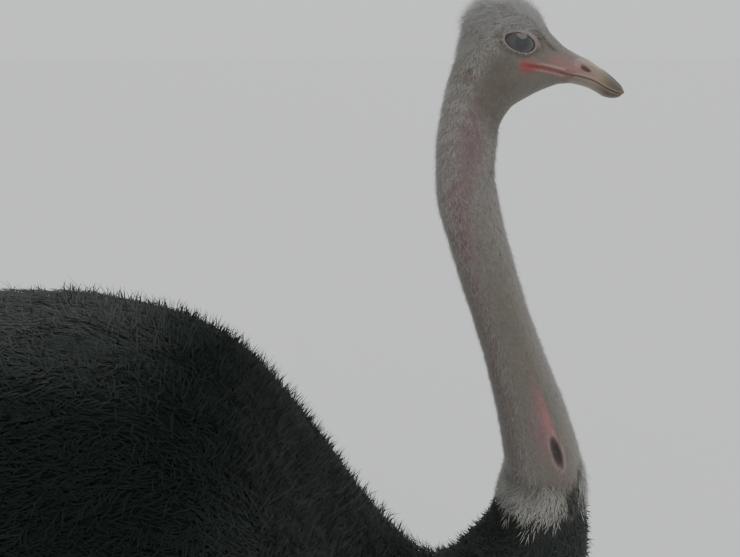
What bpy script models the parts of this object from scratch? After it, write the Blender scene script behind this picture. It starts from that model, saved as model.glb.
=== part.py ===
"""A life-size male ostrich, standing, with its neck in a relaxed S and its head in line with the body.

Metres, +Z up, the bill towards +X, the bird's left side towards +Y, and the soles of the feet at z = 0.
The feathered outline is part of the solids. Profiles are measured from a point in the head, level with the
front of the eyes: x forward of it, z above it.
"""

import math

import bpy
import bmesh
import numpy as np
from mathutils import Matrix, Vector

# Driving dimensions
HEAD_HEIGHT = 1.78  # the profiles' own zero above the ground
GAP = 0.0004  # left between neighbouring pieces
EYEBALL_RADII = (0.0245, 0.0215, 0.0235)  # along X, Y and Z
EYE_AT = (-0.0080, 0.0225, -0.0020)  # centre of the left eyeball
STRIDE = 0.13  # one foot is this far ahead of the other
LEG_SPREAD = 0.135  # each leg from the midline
LEG_SIDES = 12  # facets round a leg

# Head rows: top x, top z, bottom x, bottom z, half width, lean (above 0 is wider near the top)
HEAD = [
    (0.138, -0.0600, 0.1375, -0.0650, 0.009, 0.00),
    (0.130, -0.0515, 0.1300, -0.0695, 0.015, 0.00),
    (0.114, -0.0390, 0.1150, -0.0680, 0.019, -0.05),
    (0.089, -0.0235, 0.0910, -0.0570, 0.023, -0.10),
    (0.062, -0.0105, 0.0600, -0.0515, 0.027, -0.10),
    (0.040, 0.0065, 0.0340, -0.0590, 0.033, 0.05),
    (0.015, 0.0290, 0.0120, -0.0700, 0.041, 0.12),
    (-0.012, 0.0410, -0.0040, -0.0800, 0.043, 0.12),
    (-0.041, 0.0410, -0.0120, -0.0900, 0.040, 0.06),
    (-0.063, 0.0290, -0.0170, -0.0990, 0.036, 0.00),
    (-0.076, -0.0060, -0.0200, -0.1080, 0.034, 0.00),
    (-0.089, -0.0450, -0.0220, -0.1200, 0.034, 0.00),
    (-0.099, -0.0900, -0.0225, -0.1370, 0.035, 0.00),
    (-0.104, -0.1400, -0.0220, -0.1600, 0.036, 0.00),
]
BILL_ROWS = 4  # the horny bill ends at this head row

# Neck rows: centre x, centre z, radius fore and aft, half width
NECK = [
    (-0.0590, -0.198, 0.0420, 0.037),
    (-0.0330, -0.285, 0.0415, 0.038),
    (0.0100, -0.405, 0.0420, 0.041),
    (0.0510, -0.517, 0.0510, 0.050),
    (0.0840, -0.625, 0.0600, 0.060),
]

# Trunk rows, from the collar round the sweep of the neck base to the rump, as in HEAD
TRUNK = [
    (0.024, -0.700, 0.156, -0.690, 0.072, 0.00),
    (0.000, -0.795, 0.164, -0.750, 0.090, 0.00),
    (-0.080, -0.900, 0.165, -0.840, 0.106, 0.00),
    (-0.180, -0.935, 0.118, -0.945, 0.115, 0.00),
    (-0.265, -0.810, 0.000, -1.010, 0.135, -0.08),
    (-0.340, -0.605, -0.160, -1.030, 0.226, -0.05),
    (-0.450, -0.440, -0.340, -1.010, 0.260, -0.03),
    (-0.620, -0.376, -0.530, -0.970, 0.270, 0.00),
    (-0.800, -0.368, -0.740, -0.920, 0.265, 0.03),
    (-0.980, -0.384, -0.950, -0.855, 0.240, 0.05),
    (-1.120, -0.425, -1.120, -0.780, 0.195, 0.05),
    (-1.220, -0.475, -1.230, -0.715, 0.145, 0.00),
]

SKIN_GREY = ((0.40, 0.37, 0.35), 0.75)
HORN = ((0.45, 0.38, 0.30), 0.45)
BLACK_FEATHER = ((0.018, 0.020, 0.020), 0.85)
WHITE_FEATHER = ((0.72, 0.69, 0.63), 0.85)
LEG_SKIN = ((0.42, 0.33, 0.28), 0.65)
EYE_DARK = ((0.03, 0.02, 0.015), 0.08)


def clear_scene():
    for old in list(bpy.data.objects):
        bpy.data.objects.remove(old, do_unlink=True)


def material(name, look):
    """A plain Principled material from (colour, roughness)."""
    found = bpy.data.materials.get(name)
    if found:
        return found
    colour, roughness = look
    made = bpy.data.materials.new(name)
    made.use_nodes = True
    shader = made.node_tree.nodes["Principled BSDF"]
    shader.inputs["Base Color"].default_value = (*colour, 1.0)
    shader.inputs["Roughness"].default_value = roughness
    shader.inputs["Metallic"].default_value = 0.0
    return made


def smooth(rows, places):
    """Rows read at fractional places, along a Catmull-Rom curve through them."""
    rows = np.asarray(rows, float)
    last = len(rows) - 1
    places = np.clip(np.asarray(places, float), 0, last - 1e-9)
    start = np.floor(places).astype(int)
    f = (places - start)[:, None]
    before, here, after, beyond = (rows[np.clip(start + k, 0, last)] for k in (-1, 0, 1, 2))
    return 0.5 * (
        2 * here
        + (after - before) * f
        + (2 * before - 5 * here + 4 * after - beyond) * f**2
        + (3 * here - before - 3 * after + beyond) * f**3
    )


def section(row, sides, square=2.2, low=None, high=None, ripple=0.0, lobes=0):
    """One ring between a row's top and bottom points: a superellipse, cut off below low or above high of its height.

    The ring lies in the plane of the two points and the Y axis, and a cut is bowed up a little in the middle.
    ripple raises that many lobes on the ring.
    """
    top = np.array([row[0], row[1]])
    bottom = np.array([row[2], row[3]])
    half, lean = row[4], row[5]
    turn = np.arange(sides) * 2 * math.pi / sides
    wave = 1 + ripple * np.cos(lobes * turn)
    across = np.sign(np.sin(turn)) * np.abs(np.sin(turn)) ** (2 / square) * wave
    height = np.sign(np.cos(turn)) * np.abs(np.cos(turn)) ** (2 / square) * wave
    across = across * (1 + lean * height)
    bow = 0.08 * (1 - np.clip(across, -1, 1) ** 2)
    if low is not None:
        height = np.maximum(height, low + bow)
    if high is not None:
        height = np.minimum(height, high + bow)
    middle, rise = (top + bottom) / 2, (top - bottom) / 2
    points = middle + height[:, None] * rise
    return np.column_stack([points[:, 0], half * across, points[:, 1]])


def neck_rows():
    """NECK as rows of top and bottom points, each pair square to the neck's own curve."""
    path = np.array(NECK)
    along = np.gradient(path[:, :2], axis=0)
    along /= np.linalg.norm(along, axis=1)[:, None]
    aft = np.column_stack([along[:, 1], -along[:, 0]])
    rows = []
    for (x, z, _, half), side in zip(NECK, aft * path[:, 2:3]):
        rows.append((x + side[0], z + side[1], x - side[0], z - side[1], half, 0.0))
    return rows


def place(points):
    """Profile measures to heights above the ground."""
    return np.asarray(points, float) + np.array([0, 0, HEAD_HEIGHT])


def add_mesh(name, points, faces, look_name, look):
    mesh = bpy.data.meshes.new(name)
    mesh.from_pydata([tuple(p) for p in points], [], faces)
    made = bmesh.new()
    made.from_mesh(mesh)
    bmesh.ops.recalc_face_normals(made, faces=made.faces)
    made.to_mesh(mesh)
    made.free()
    mesh.shade_smooth()
    mesh.set_sharp_from_angle(angle=math.radians(50))
    mesh.materials.append(material(look_name, look))
    obj = bpy.data.objects.new(name, mesh)
    bpy.context.scene.collection.objects.link(obj)
    return obj


def add_loft(name, rings, look_name, look):
    """A closed solid through rings with the same number of points, with flat ends."""
    rings = np.asarray(rings)
    count, sides = rings.shape[0], rings.shape[1]
    faces = [tuple(range(sides))]
    for i in range(count - 1):
        for j in range(sides):
            k = (j + 1) % sides
            here, on = i * sides, (i + 1) * sides
            faces += [(here + j, on + j, on + k), (here + j, on + k, here + k)]
    faces.append(tuple((count - 1) * sides + j for j in reversed(range(sides))))
    return add_mesh(name, rings.reshape(-1, 3), faces, look_name, look)


def add_ellipsoid(name, centre, radii, look_name, look, rings=8, sides=14, turned=None):
    """An ellipsoid, turned by a rotation matrix if one is given."""
    made = bmesh.new()
    bmesh.ops.create_uvsphere(made, u_segments=sides, v_segments=rings, radius=1.0)
    shape = Matrix.Diagonal((*radii, 1.0))
    rotation = turned.to_4x4() if turned else Matrix.Identity(4)
    bmesh.ops.transform(made, matrix=Matrix.Translation(centre) @ rotation @ shape, verts=made.verts)
    mesh = bpy.data.meshes.new(name)
    made.to_mesh(mesh)
    made.free()
    mesh.shade_smooth()
    mesh.materials.append(material(look_name, look))
    obj = bpy.data.objects.new(name, mesh)
    bpy.context.scene.collection.objects.link(obj)
    return obj


def as_cutter(obj):
    obj.hide_render = True
    obj.display_type = "WIRE"
    return obj


def cut(obj, cutter):
    """Takes cutter's shape out of obj."""
    modifier = obj.modifiers.new("cut_" + cutter.name, "BOOLEAN")
    modifier.operation = "DIFFERENCE"
    modifier.solver = "EXACT"
    modifier.object = cutter


def body_rows():
    return HEAD + neck_rows() + TRUNK


def body_length(start, end, sides, steps, grow=0.0, square=2.2, ahead=0):
    """Rings of the body between two row numbers; a cutter's are grown, and run that many more steps ahead."""
    places = np.linspace(start, end, steps)
    places = np.concatenate([places[0] - (places[1] - places[0]) * np.arange(ahead, 0, -1), places])
    rings = []
    for row in smooth(body_rows(), places):
        ring = section(row, sides, square)
        if grow:
            out = ring - ring.mean(axis=0)
            ring = ring + out / np.linalg.norm(out, axis=1)[:, None] * grow
        rings.append(place(ring))
    return rings


def step_past(row_number):
    """The row number one GAP further along the body's midline."""
    near = smooth(body_rows(), [row_number, row_number + 0.01])
    middle = (near[:, 0:2] + near[:, 2:4]) / 2
    return row_number + 0.01 * GAP / np.linalg.norm(middle[1] - middle[0])


def make_bill():
    """Upper and lower bill, parted along the gape, low at the base and nearer the middle at the tip."""
    rows = smooth(HEAD, np.linspace(0, BILL_ROWS, 11))
    upper, lower = [], []
    for x_share, row in zip(np.linspace(1, 0, len(rows)), rows):
        gape = 0.72 - 0.10 * x_share  # share of the height below the top
        split = 1 - 2 * gape
        slack = GAP / max(0.004, np.linalg.norm(row[0:2] - row[2:4]))
        upper.append(place(section(row, 14, 2.1, low=split + slack)))
        lower.append(place(section(row, 14, 2.1, high=split - slack)))
    upper_bill = add_loft("bill_upper", upper, "bill_horn", HORN)
    lower_bill = add_loft("bill_lower", lower, "bill_horn", HORN)
    for side in (-1, 1):
        centre = place((0.0810, side * 0.0215, -0.0330))
        lie = Matrix.Rotation(math.radians(27), 3, "Y") @ Matrix.Rotation(side * math.radians(-8), 3, "Z")
        nostril = add_ellipsoid("cutter_nostril", centre, (0.0095, 0.004, 0.0031), "bill_horn", HORN, 6, 8, lie)
        cut(upper_bill, as_cutter(nostril))
    return [upper_bill, lower_bill]


def make_head():
    """The head from the bill's base to the throat, with sockets for the eyes and a pocket for each ear."""
    start = step_past(BILL_ROWS)
    head = add_loft("head", body_length(start, 12.0, 18, 21), "head_skin", SKIN_GREY)
    made = [head]
    for side, name in ((-1, "right"), (1, "left")):
        centre = place(EYE_AT) * (1, side, 1)
        eye = add_ellipsoid("eye_" + name, centre, EYEBALL_RADII, "eye_dark", EYE_DARK, 8, 14)
        socket_radii = [radius + GAP * 1.5 for radius in EYEBALL_RADII]
        socket = add_ellipsoid("cutter_socket", centre, socket_radii, "head_skin", SKIN_GREY, 8, 14)
        cut(head, as_cutter(socket))
        at = place((-0.065, side * 0.0335, -0.034))
        turned = Matrix.Rotation(math.radians(15), 3, "Y")
        ear = add_ellipsoid("ear_" + name, at, (0.0065, 0.0050, 0.0100), "head_skin", SKIN_GREY, 6, 8, turned)
        hollow_at = place((-0.065, side * 0.0385, -0.034))
        hollow_radii = (0.0036, 0.0036, 0.0062)
        hollow = add_ellipsoid("cutter_ear_hole", hollow_at, hollow_radii, "head_skin", SKIN_GREY, 4, 6, turned)
        cut(ear, as_cutter(hollow))
        pocket_radii = (0.0065 + GAP * 1.5, 0.0050 + GAP * 1.5, 0.0100 + GAP * 1.5)
        pocket = add_ellipsoid("cutter_ear_pocket", at, pocket_radii, "head_skin", SKIN_GREY, 6, 8, turned)
        cut(head, as_cutter(pocket))
        made += [eye, ear]
    return made


def make_neck():
    """The neck in four lengths, the last one black-feathered, and the breast that sweeps back from it."""
    collar = len(HEAD) + len(NECK)
    cuts = [12.0, 15.0, 17.0, collar - 0.2, collar + 1.1, collar + 2.4]
    names = ["neck_upper", "neck_middle", "neck_lower", "neck_base", "breast"]
    looks = [("neck_skin", SKIN_GREY)] * 3 + [("black_feather", BLACK_FEATHER)] * 2
    steps = [8, 7, 6, 6, 6]
    made = []
    for name, look, count, start, end in zip(names, looks, steps, cuts[:-1], cuts[1:]):
        rings = body_length(step_past(start), end, 20, count)
        made.append(add_loft(name, rings, *look))
    return made, cuts[-1]


def make_trunk(start):
    """The trunk, and a larger copy, longer in front, that cuts whatever lies against it."""
    size = dict(start=step_past(start), end=len(body_rows()) - 1, sides=24, steps=17, square=2.3)
    trunk = add_loft("trunk", body_length(**size), "black_feather", BLACK_FEATHER)
    hull = body_length(**size, grow=5 * GAP, ahead=5)
    cutter = as_cutter(add_loft("cutter_trunk", hull, "black_feather", BLACK_FEATHER))
    return trunk, cutter


def make_tail():
    """A drooping bunch of plumes behind the rump, ribbed by the plumes' edges."""
    rows = [
        (-1.221, -0.478, -1.231, -0.712, 0.142, 0.0),
        (-1.300, -0.470, -1.270, -0.795, 0.168, 0.0),
        (-1.385, -0.525, -1.325, -0.865, 0.172, 0.0),
        (-1.450, -0.630, -1.365, -0.920, 0.155, 0.0),
        (-1.475, -0.760, -1.405, -0.960, 0.115, 0.0),
        (-1.465, -0.875, -1.430, -0.970, 0.055, 0.0),
    ]
    rows[0] = tuple(v - 2 * GAP if i in (0, 2) else v for i, v in enumerate(rows[0]))
    rings = [place(section(r, 24, 2.1, ripple=0.04, lobes=8)) for r in smooth(rows, np.linspace(0, 5, 10))]
    return add_loft("tail", rings, "white_plume", WHITE_FEATHER)


def make_wing(side, name, trunk_cutter):
    """A folded wing: black coverts over the flank, then the white plumes that hang behind them."""
    rows = [
        (-0.330, -0.760, -0.330, -0.800, 0.020, 0.0),
        (-0.365, -0.680, -0.355, -0.860, 0.080, 0.0),
        (-0.450, -0.595, -0.430, -0.900, 0.125, 0.0),
        (-0.570, -0.530, -0.550, -0.920, 0.150, 0.0),
        (-0.710, -0.500, -0.700, -0.925, 0.160, 0.0),
        (-0.850, -0.510, -0.850, -0.935, 0.156, 0.0),
        (-0.980, -0.550, -0.980, -0.955, 0.135, 0.0),
        (-1.080, -0.660, -1.080, -0.985, 0.105, 0.0),
        (-1.160, -0.790, -1.150, -1.005, 0.070, 0.0),
        (-1.205, -0.900, -1.190, -0.995, 0.030, 0.0),
    ]
    out = [0.175, 0.175, 0.170, 0.165, 0.165, 0.165, 0.165, 0.165, 0.170, 0.180]
    parted = 5.0  # the row where black gives way to white
    made = []
    for label, start, end, look, ripple in (
        ("wing_" + name, 0.0, parted, ("black_feather", BLACK_FEATHER), 0.0),
        ("wing_plumes_" + name, parted + 0.004, 9.0, ("white_plume", WHITE_FEATHER), 0.04),
    ):
        places = np.linspace(start, end, 9)
        rings = []
        for row, offset in zip(smooth(rows, places), smooth(np.array(out)[:, None], places)[:, 0]):
            ring = section(row, 16, 2.1, ripple=ripple, lobes=4)
            ring[:, 1] += side * offset
            rings.append(place(ring))
        piece = add_loft(label, rings, *look)
        cut(piece, trunk_cutter)
        made.append(piece)
    return made


def grown(radii_rows, grow):
    """Path rows x, y, z, fore, across with both radii widened."""
    return radii_rows + np.array([0, 0, 0, grow, grow])


def make_leg(side, name, ahead, trunk_cutter, wing):
    """A bare thigh, a long scaled shank and a two-toed foot; ahead moves the foot along X."""
    y = side * LEG_SPREAD
    knee = np.array([-0.565 + ahead * 0.30, y * 1.15, 0.990])
    ankle = np.array([-0.785 + ahead * 0.60, y, 0.510])
    ball = np.array([-0.725 + ahead, y, 0.052])
    path = [
        (*knee, 0.105, 0.080),
        (*(knee * 0.72 + ankle * 0.28), 0.098, 0.078),
        (*(knee * 0.44 + ankle * 0.56), 0.068, 0.058),
        (*(knee * 0.18 + ankle * 0.82), 0.038, 0.036),
        (*(ankle + (-0.004, 0, 0)), 0.038, 0.035),
        (*(ankle * 0.85 + ball * 0.15), 0.029, 0.025),
        (*(ankle * 0.50 + ball * 0.50), 0.024, 0.020),
        (*(ankle * 0.18 + ball * 0.82), 0.026, 0.024),
        (*(ball + (0, 0, 0.012)), 0.033, 0.033),
        (*(ball + (0.006, 0, -0.016)), 0.020, 0.022),
    ]
    ankle_cut = 3.45  # between the thigh's rows and the shank's
    rows = smooth(path, np.linspace(0, len(path) - 1, 400))
    reach = np.linspace(0, len(path) - 1, 400)
    parts = []
    for label, start, end, steps in (("thigh_", 0.0, ankle_cut, 11), ("shank_", ankle_cut, 9.0, 15)):
        index = np.searchsorted(reach, np.linspace(start, end, steps)).clip(0, 399)
        rings = tube_rings(rows, index, LEG_SIDES)
        if label == "shank_":
            first = rings[0]
            rings[0] = first + (rings[1].mean(axis=0) - first.mean(axis=0)) * (GAP / 0.03)
        parts.append(add_loft(label + name, rings, "leg_skin", LEG_SKIN))
    thigh, shank = parts
    cut(thigh, trunk_cutter)
    upper = np.searchsorted(reach, np.linspace(0.0, 3.0, 13)).clip(0, 399)
    clearance = tube_rings(grown(rows, 4 * GAP), upper, LEG_SIDES)
    thigh_cutter = as_cutter(add_loft("cutter_thigh_" + name, clearance, "leg_skin", LEG_SKIN))
    for piece in wing:
        cut(piece, thigh_cutter)
    sleeve = tube_rings(grown(rows, 1.5 * GAP), index[-7:], LEG_SIDES)
    sleeve.append(sleeve[-1] + np.array([0, 0, -1.5 * GAP]))
    knuckle = as_cutter(add_loft("cutter_knuckle_" + name, sleeve, "leg_skin", LEG_SKIN))
    return [thigh, shank] + make_foot(side, name, ball, knuckle)


def tube_rings(rows, index, sides):
    """Rings square to the path at the given rows, level across."""
    along = np.gradient(rows[:, :3], axis=0)
    turn = np.arange(sides) * 2 * math.pi / sides
    rings = []
    for i in index:
        direction = Vector(along[i]).normalized()
        aft = direction.cross(Vector((0, 1, 0))).normalized()
        level = aft.cross(direction).normalized()
        fore, across = rows[i, 3], rows[i, 4]
        rings.append(rows[i, :3] + np.outer(np.cos(turn) * fore, aft) + np.outer(np.sin(turn) * across, level))
    return rings


def toe_rings(root, heading, length, width, height, grow=0.0):
    """A toe on its pad, flat underneath, that narrows to its tip."""
    shape = [
        (-0.040, 0.50, 0.55),
        (-0.020, 0.86, 0.88),
        (0.012, 1.00, 1.00),
        (0.30 * length, 0.98, 0.86),
        (0.58 * length, 0.80, 0.62),
        (0.84 * length, 0.74, 0.54),
        (length, 0.56, 0.44),
    ]
    forward = np.array([math.cos(heading), math.sin(heading), 0])
    across = np.array([-math.sin(heading), math.cos(heading), 0])
    turn = np.arange(12) * 2 * math.pi / 12
    rings = []
    for reach, wide, high in smooth(shape, np.linspace(0, len(shape) - 1, 9)):
        tall = height * high + grow
        rise = np.clip(0.45 * tall + 0.55 * tall * np.cos(turn), 0.0, None)
        ring = root * (1, 1, 0) + reach * forward + np.outer(np.sin(turn) * (width * wide / 2 + grow), across)
        ring[:, 2] = rise - (grow if grow else 0.0)
        rings.append(ring)
    return rings


def make_claw(name, root, heading, length, width, height):
    """A blunt curved nail that starts at root and ends near the ground."""
    forward = np.array([math.cos(heading), math.sin(heading), 0])
    across = np.array([-math.sin(heading), math.cos(heading), 0])
    turn = np.arange(10) * 2 * math.pi / 10
    rings = []
    for share in np.linspace(0, 1, 7):
        slim = math.sqrt(max(0.0, 1 - share**1.6)) * 0.9 + 0.1
        middle = root + share * length * forward + np.array([0, 0, -0.45 * height * share**1.5])
        ring = middle + np.outer(np.sin(turn) * width / 2 * slim, across)
        ring[:, 2] += np.cos(turn) * height / 2 * slim
        ring[:, 2] = np.maximum(ring[:, 2], 0.0012)
        rings.append(ring)
    return add_loft(name, rings, "claw_horn", HORN)


def make_foot(side, name, ball, knuckle):
    """The large inner toe with its claw, and the small outer toe."""
    inner, outer = math.radians(-side * 3), math.radians(side * 24)
    large = dict(root=ball + (0.004, -side * 0.006, 0), heading=inner, length=0.160, width=0.066, height=0.070)
    small = dict(root=ball + (0.000, side * 0.030, 0), heading=outer, length=0.104, width=0.042, height=0.046)
    large_toe = add_loft("toe_large_" + name, toe_rings(**large), "leg_skin", LEG_SKIN)
    small_toe = add_loft("toe_small_" + name, toe_rings(**small), "leg_skin", LEG_SKIN)
    large_cutter = as_cutter(
        add_loft("cutter_large_toe_" + name, toe_rings(**large, grow=GAP), "leg_skin", LEG_SKIN)
    )
    cut(large_toe, knuckle)
    cut(small_toe, knuckle)
    cut(small_toe, large_cutter)
    claw_reach = large["length"] + GAP
    claw_root = large["root"] * (1, 1, 0) + claw_reach * np.array([math.cos(inner), math.sin(inner), 0])
    claw = make_claw("claw_" + name, claw_root + (0, 0, 0.0150), inner, 0.062, 0.030, 0.026)
    return [large_toe, small_toe, claw]


def centre_on_floor(pieces):
    """Hangs everything on one empty that sets the origin under the middle of the whole bird's length."""
    ends = [corner[0] for piece in pieces for corner in piece.bound_box]
    stand = bpy.data.objects.new("ostrich", None)
    bpy.context.scene.collection.objects.link(stand)
    stand.location.x = -(min(ends) + max(ends)) / 2
    for obj in bpy.data.objects:
        if obj is not stand:
            obj.parent = stand


def main():
    clear_scene()
    pieces = make_bill() + make_head()
    neck, trunk_start = make_neck()
    trunk, trunk_cutter = make_trunk(trunk_start)
    pieces += neck + [trunk, make_tail()]
    for side, name in ((-1, "right"), (1, "left")):
        wing = make_wing(side, name, trunk_cutter)
        pieces += wing + make_leg(side, name, -side * STRIDE / 2, trunk_cutter, wing)
    centre_on_floor(pieces)


main()
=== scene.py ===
# A male ostrich: one skin with its bill, eyes, scutes and claws, under plumage of solid mesh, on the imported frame
import math

import bpy
import numpy as np
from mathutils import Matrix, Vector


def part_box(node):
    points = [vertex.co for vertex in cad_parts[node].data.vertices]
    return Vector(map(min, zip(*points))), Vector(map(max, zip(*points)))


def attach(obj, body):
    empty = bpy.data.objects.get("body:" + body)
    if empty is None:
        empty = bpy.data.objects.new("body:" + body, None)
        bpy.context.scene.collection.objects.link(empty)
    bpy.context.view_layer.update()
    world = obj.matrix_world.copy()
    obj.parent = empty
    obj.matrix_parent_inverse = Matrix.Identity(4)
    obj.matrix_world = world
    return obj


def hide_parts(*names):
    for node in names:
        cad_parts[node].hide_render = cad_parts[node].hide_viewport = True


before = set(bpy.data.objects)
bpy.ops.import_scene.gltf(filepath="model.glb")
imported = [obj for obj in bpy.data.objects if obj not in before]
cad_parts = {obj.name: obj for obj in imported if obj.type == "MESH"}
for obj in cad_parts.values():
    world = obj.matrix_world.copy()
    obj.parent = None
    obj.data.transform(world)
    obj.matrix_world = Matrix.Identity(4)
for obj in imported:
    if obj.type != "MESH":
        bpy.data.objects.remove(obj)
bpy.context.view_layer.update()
eyeLow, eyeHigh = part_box("eye_right")
eyeAt = (-0.0080, 0.0225, -0.0020)  # the left eyeball's centre from the profiles' own zero
eyeX, eyeZ = (eyeLow.x + eyeHigh.x) / 2 - eyeAt[0], (eyeLow.z + eyeHigh.z) / 2 - eyeAt[2]
fromEye = np.array([eyeX, 0.0, eyeZ])
bothSides = ((-1, "Right"), (1, "Left"))


# Rows: top x, top z, bottom x, bottom z, half width, lean. Neck rows: centre x, centre z, radius, half width
body = {
    "head": [
        (0.138, -0.0600, 0.1375, -0.0650, 0.009, 0.00),
        (0.130, -0.0515, 0.1300, -0.0695, 0.015, 0.00),
        (0.114, -0.0390, 0.1150, -0.0680, 0.019, -0.05),
        (0.089, -0.0235, 0.0910, -0.0570, 0.023, -0.10),
        (0.062, -0.0105, 0.0600, -0.0515, 0.027, -0.10),
        (0.040, 0.0065, 0.0340, -0.0590, 0.033, 0.05),
        (0.015, 0.0290, 0.0120, -0.0700, 0.041, 0.12),
        (-0.012, 0.0410, -0.0040, -0.0800, 0.043, 0.12),
        (-0.041, 0.0410, -0.0120, -0.0900, 0.040, 0.06),
        (-0.063, 0.0290, -0.0170, -0.0990, 0.036, 0.00),
        (-0.076, -0.0060, -0.0200, -0.1080, 0.034, 0.00),
        (-0.089, -0.0450, -0.0220, -0.1200, 0.034, 0.00),
        (-0.099, -0.0900, -0.0225, -0.1370, 0.035, 0.00),
        (-0.104, -0.1400, -0.0220, -0.1600, 0.036, 0.00),
    ],
    "neck": [
        (-0.0590, -0.198, 0.0420, 0.037),
        (-0.0330, -0.285, 0.0415, 0.038),
        (0.0100, -0.405, 0.0420, 0.041),
        (0.0510, -0.517, 0.0510, 0.050),
        (0.0840, -0.625, 0.0600, 0.060),
    ],
    "trunk": [
        (0.024, -0.700, 0.156, -0.690, 0.072, 0.00),
        (0.000, -0.795, 0.164, -0.750, 0.090, 0.00),
        (-0.080, -0.900, 0.165, -0.840, 0.106, 0.00),
        (-0.180, -0.935, 0.118, -0.945, 0.115, 0.00),
        (-0.265, -0.810, 0.000, -1.010, 0.135, -0.08),
        (-0.340, -0.605, -0.160, -1.030, 0.226, -0.05),
        (-0.450, -0.440, -0.340, -1.010, 0.260, -0.03),
        (-0.620, -0.376, -0.530, -0.970, 0.270, 0.00),
        (-0.800, -0.368, -0.740, -0.920, 0.265, 0.03),
        (-0.980, -0.384, -0.950, -0.855, 0.240, 0.05),
        (-1.120, -0.425, -1.120, -0.780, 0.195, 0.05),
        (-1.220, -0.475, -1.230, -0.715, 0.145, 0.00),
        (-1.300, -0.520, -1.305, -0.690, 0.095, 0.00),
        (-1.350, -0.570, -1.352, -0.660, 0.045, 0.00),
    ],
    "square": 2.25,
}
billRow, collarRow, tailRow = 4.0, 19.0, 32.0


def curveRows(rows, places):
    # Rows read at fractional numbers: each value follows the cubic through its four neighbours (Catmull-Rom)
    rows = np.asarray(rows, float)
    last = len(rows) - 1
    places = np.clip(np.asarray(places, float), 0, last - 1e-9)
    start = np.floor(places).astype(int)
    f = (places - start)[..., None]
    before, here, after, beyond = (rows[np.clip(start + k, 0, last)] for k in (-1, 0, 1, 2))
    return 0.5 * (
        2 * here
        + (after - before) * f
        + (2 * before - 5 * here + 4 * after - beyond) * f**2
        + (3 * here - before - 3 * after + beyond) * f**3
    )


def neckRows():
    # A neck row's top and bottom lie one radius either side of its centre, square to the neck's own curve
    path = np.array(body["neck"])
    along = np.gradient(path[:, :2], axis=0)
    along /= np.linalg.norm(along, axis=1)[:, None]
    aft = np.column_stack([along[:, 1], -along[:, 0]]) * path[:, 2:3]
    lean = np.zeros(len(path))
    return np.column_stack([path[:, :2] + aft, path[:, :2] - aft, path[:, 3], lean])


bodyRows = np.concatenate([np.array(body["head"]), neckRows(), np.array(body["trunk"])])


def superellipse(turn, square):
    # Across and height of a ring of size 1: |sin|^(2/square) and |cos|^(2/square), with their signs
    return tuple(np.sign(v) * np.abs(v) ** (2 / square) for v in (np.sin(turn), np.cos(turn)))


def rowPoint(row, across, height):
    # A row's middle moved up by height, in halves of its span, and out by across, in half widths
    middle, rise = (row[..., 0:2] + row[..., 2:4]) / 2, (row[..., 0:2] - row[..., 2:4]) / 2
    x = middle[..., 0] + height * rise[..., 0]
    z = middle[..., 1] + height * rise[..., 1]
    return np.stack([x, row[..., 4] * across, z], -1)


def ringPoint(row, turn, square):
    # A superellipse between a row's top and bottom, wider above or below by the row's lean
    across, height = superellipse(turn, square)
    return rowPoint(row, across * (1 + row[..., 5] * height), height) + fromEye


def bodyShell(place, turn):
    # The feathered outline at a row number and a turn about the body: 0 on top, a quarter turn on the left side
    return ringPoint(curveRows(bodyRows, place), turn, body["square"])


def unit(vectors):
    return vectors / np.maximum(np.linalg.norm(vectors, axis=-1, keepdims=True), 1e-12)


def dot(a, b):
    return (a * b).sum(-1)


def smoothStep(low, high, value):
    # 0 below low, 1 above high, and 3s^2 - 2s^3 between
    s = np.clip((value - low) / (high - low), 0, 1)
    return s * s * (3 - 2 * s)


def bell(value, middle, width):
    # exp(-((value - middle) / width)^2)
    return np.exp(-(((value - middle) / width) ** 2))


def allRound(count):
    # Turns evenly spaced round a whole ring, from 0
    return np.arange(count) * 2 * math.pi / count


def buildMesh(name, points, faces, uv=None, marks=None, normals=None):
    # One object from an array of points and a list of arrays of faces; uv and normals are per point
    corners = np.concatenate([group.ravel() for group in faces])
    sizes = np.concatenate([np.full(len(group), group.shape[1]) for group in faces])
    mesh = bpy.data.meshes.new(name)
    mesh.vertices.add(len(points))
    mesh.vertices.foreach_set("co", points.astype(np.float32).ravel())
    mesh.loops.add(len(corners))
    mesh.loops.foreach_set("vertex_index", corners.astype(np.int32))
    mesh.polygons.add(len(sizes))
    mesh.polygons.foreach_set("loop_start", (np.cumsum(sizes) - sizes).astype(np.int32))
    mesh.polygons.foreach_set("use_smooth", np.ones(len(sizes), bool))
    if uv is not None:
        layer = mesh.uv_layers.new(name="OFBake", do_init=False)
        layer.uv.foreach_set("vector", uv[corners].astype(np.float32).ravel())
    for key, values in (marks or {}).items():
        mesh.attributes.new(key, "FLOAT", "POINT").data.foreach_set("value", values.astype(np.float32))
    mesh.update(calc_edges=True)
    if normals is not None:
        mesh.normals_split_custom_set_from_vertices(normals.astype(np.float32))
    obj = bpy.data.objects.new(name, mesh)
    bpy.context.scene.collection.objects.link(obj)
    return obj


def gridFaces(rows, columns, closed=True):
    # Quads between neighbouring rows of points; closed joins the last column to the first
    i = np.arange(rows - 1)[:, None] * columns
    j = np.arange(columns if closed else columns - 1)[None, :]
    k = (j + 1) % columns
    return np.stack([i + j, i + k, i + columns + k, i + columns + j], -1).reshape(-1, 4)


def facesOut(points, faces):
    # Turns every face round if the volume of the closed mesh, the sum of a.(b x c) / 6, is below nothing
    total = 0.0
    for group in faces:
        corner = points[group]
        for k in range(1, group.shape[1] - 1):
            total += (corner[:, 0] * np.cross(corner[:, k], corner[:, k + 1])).sum()
    return faces if total > 0 else [group[:, ::-1] for group in faces]


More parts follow.
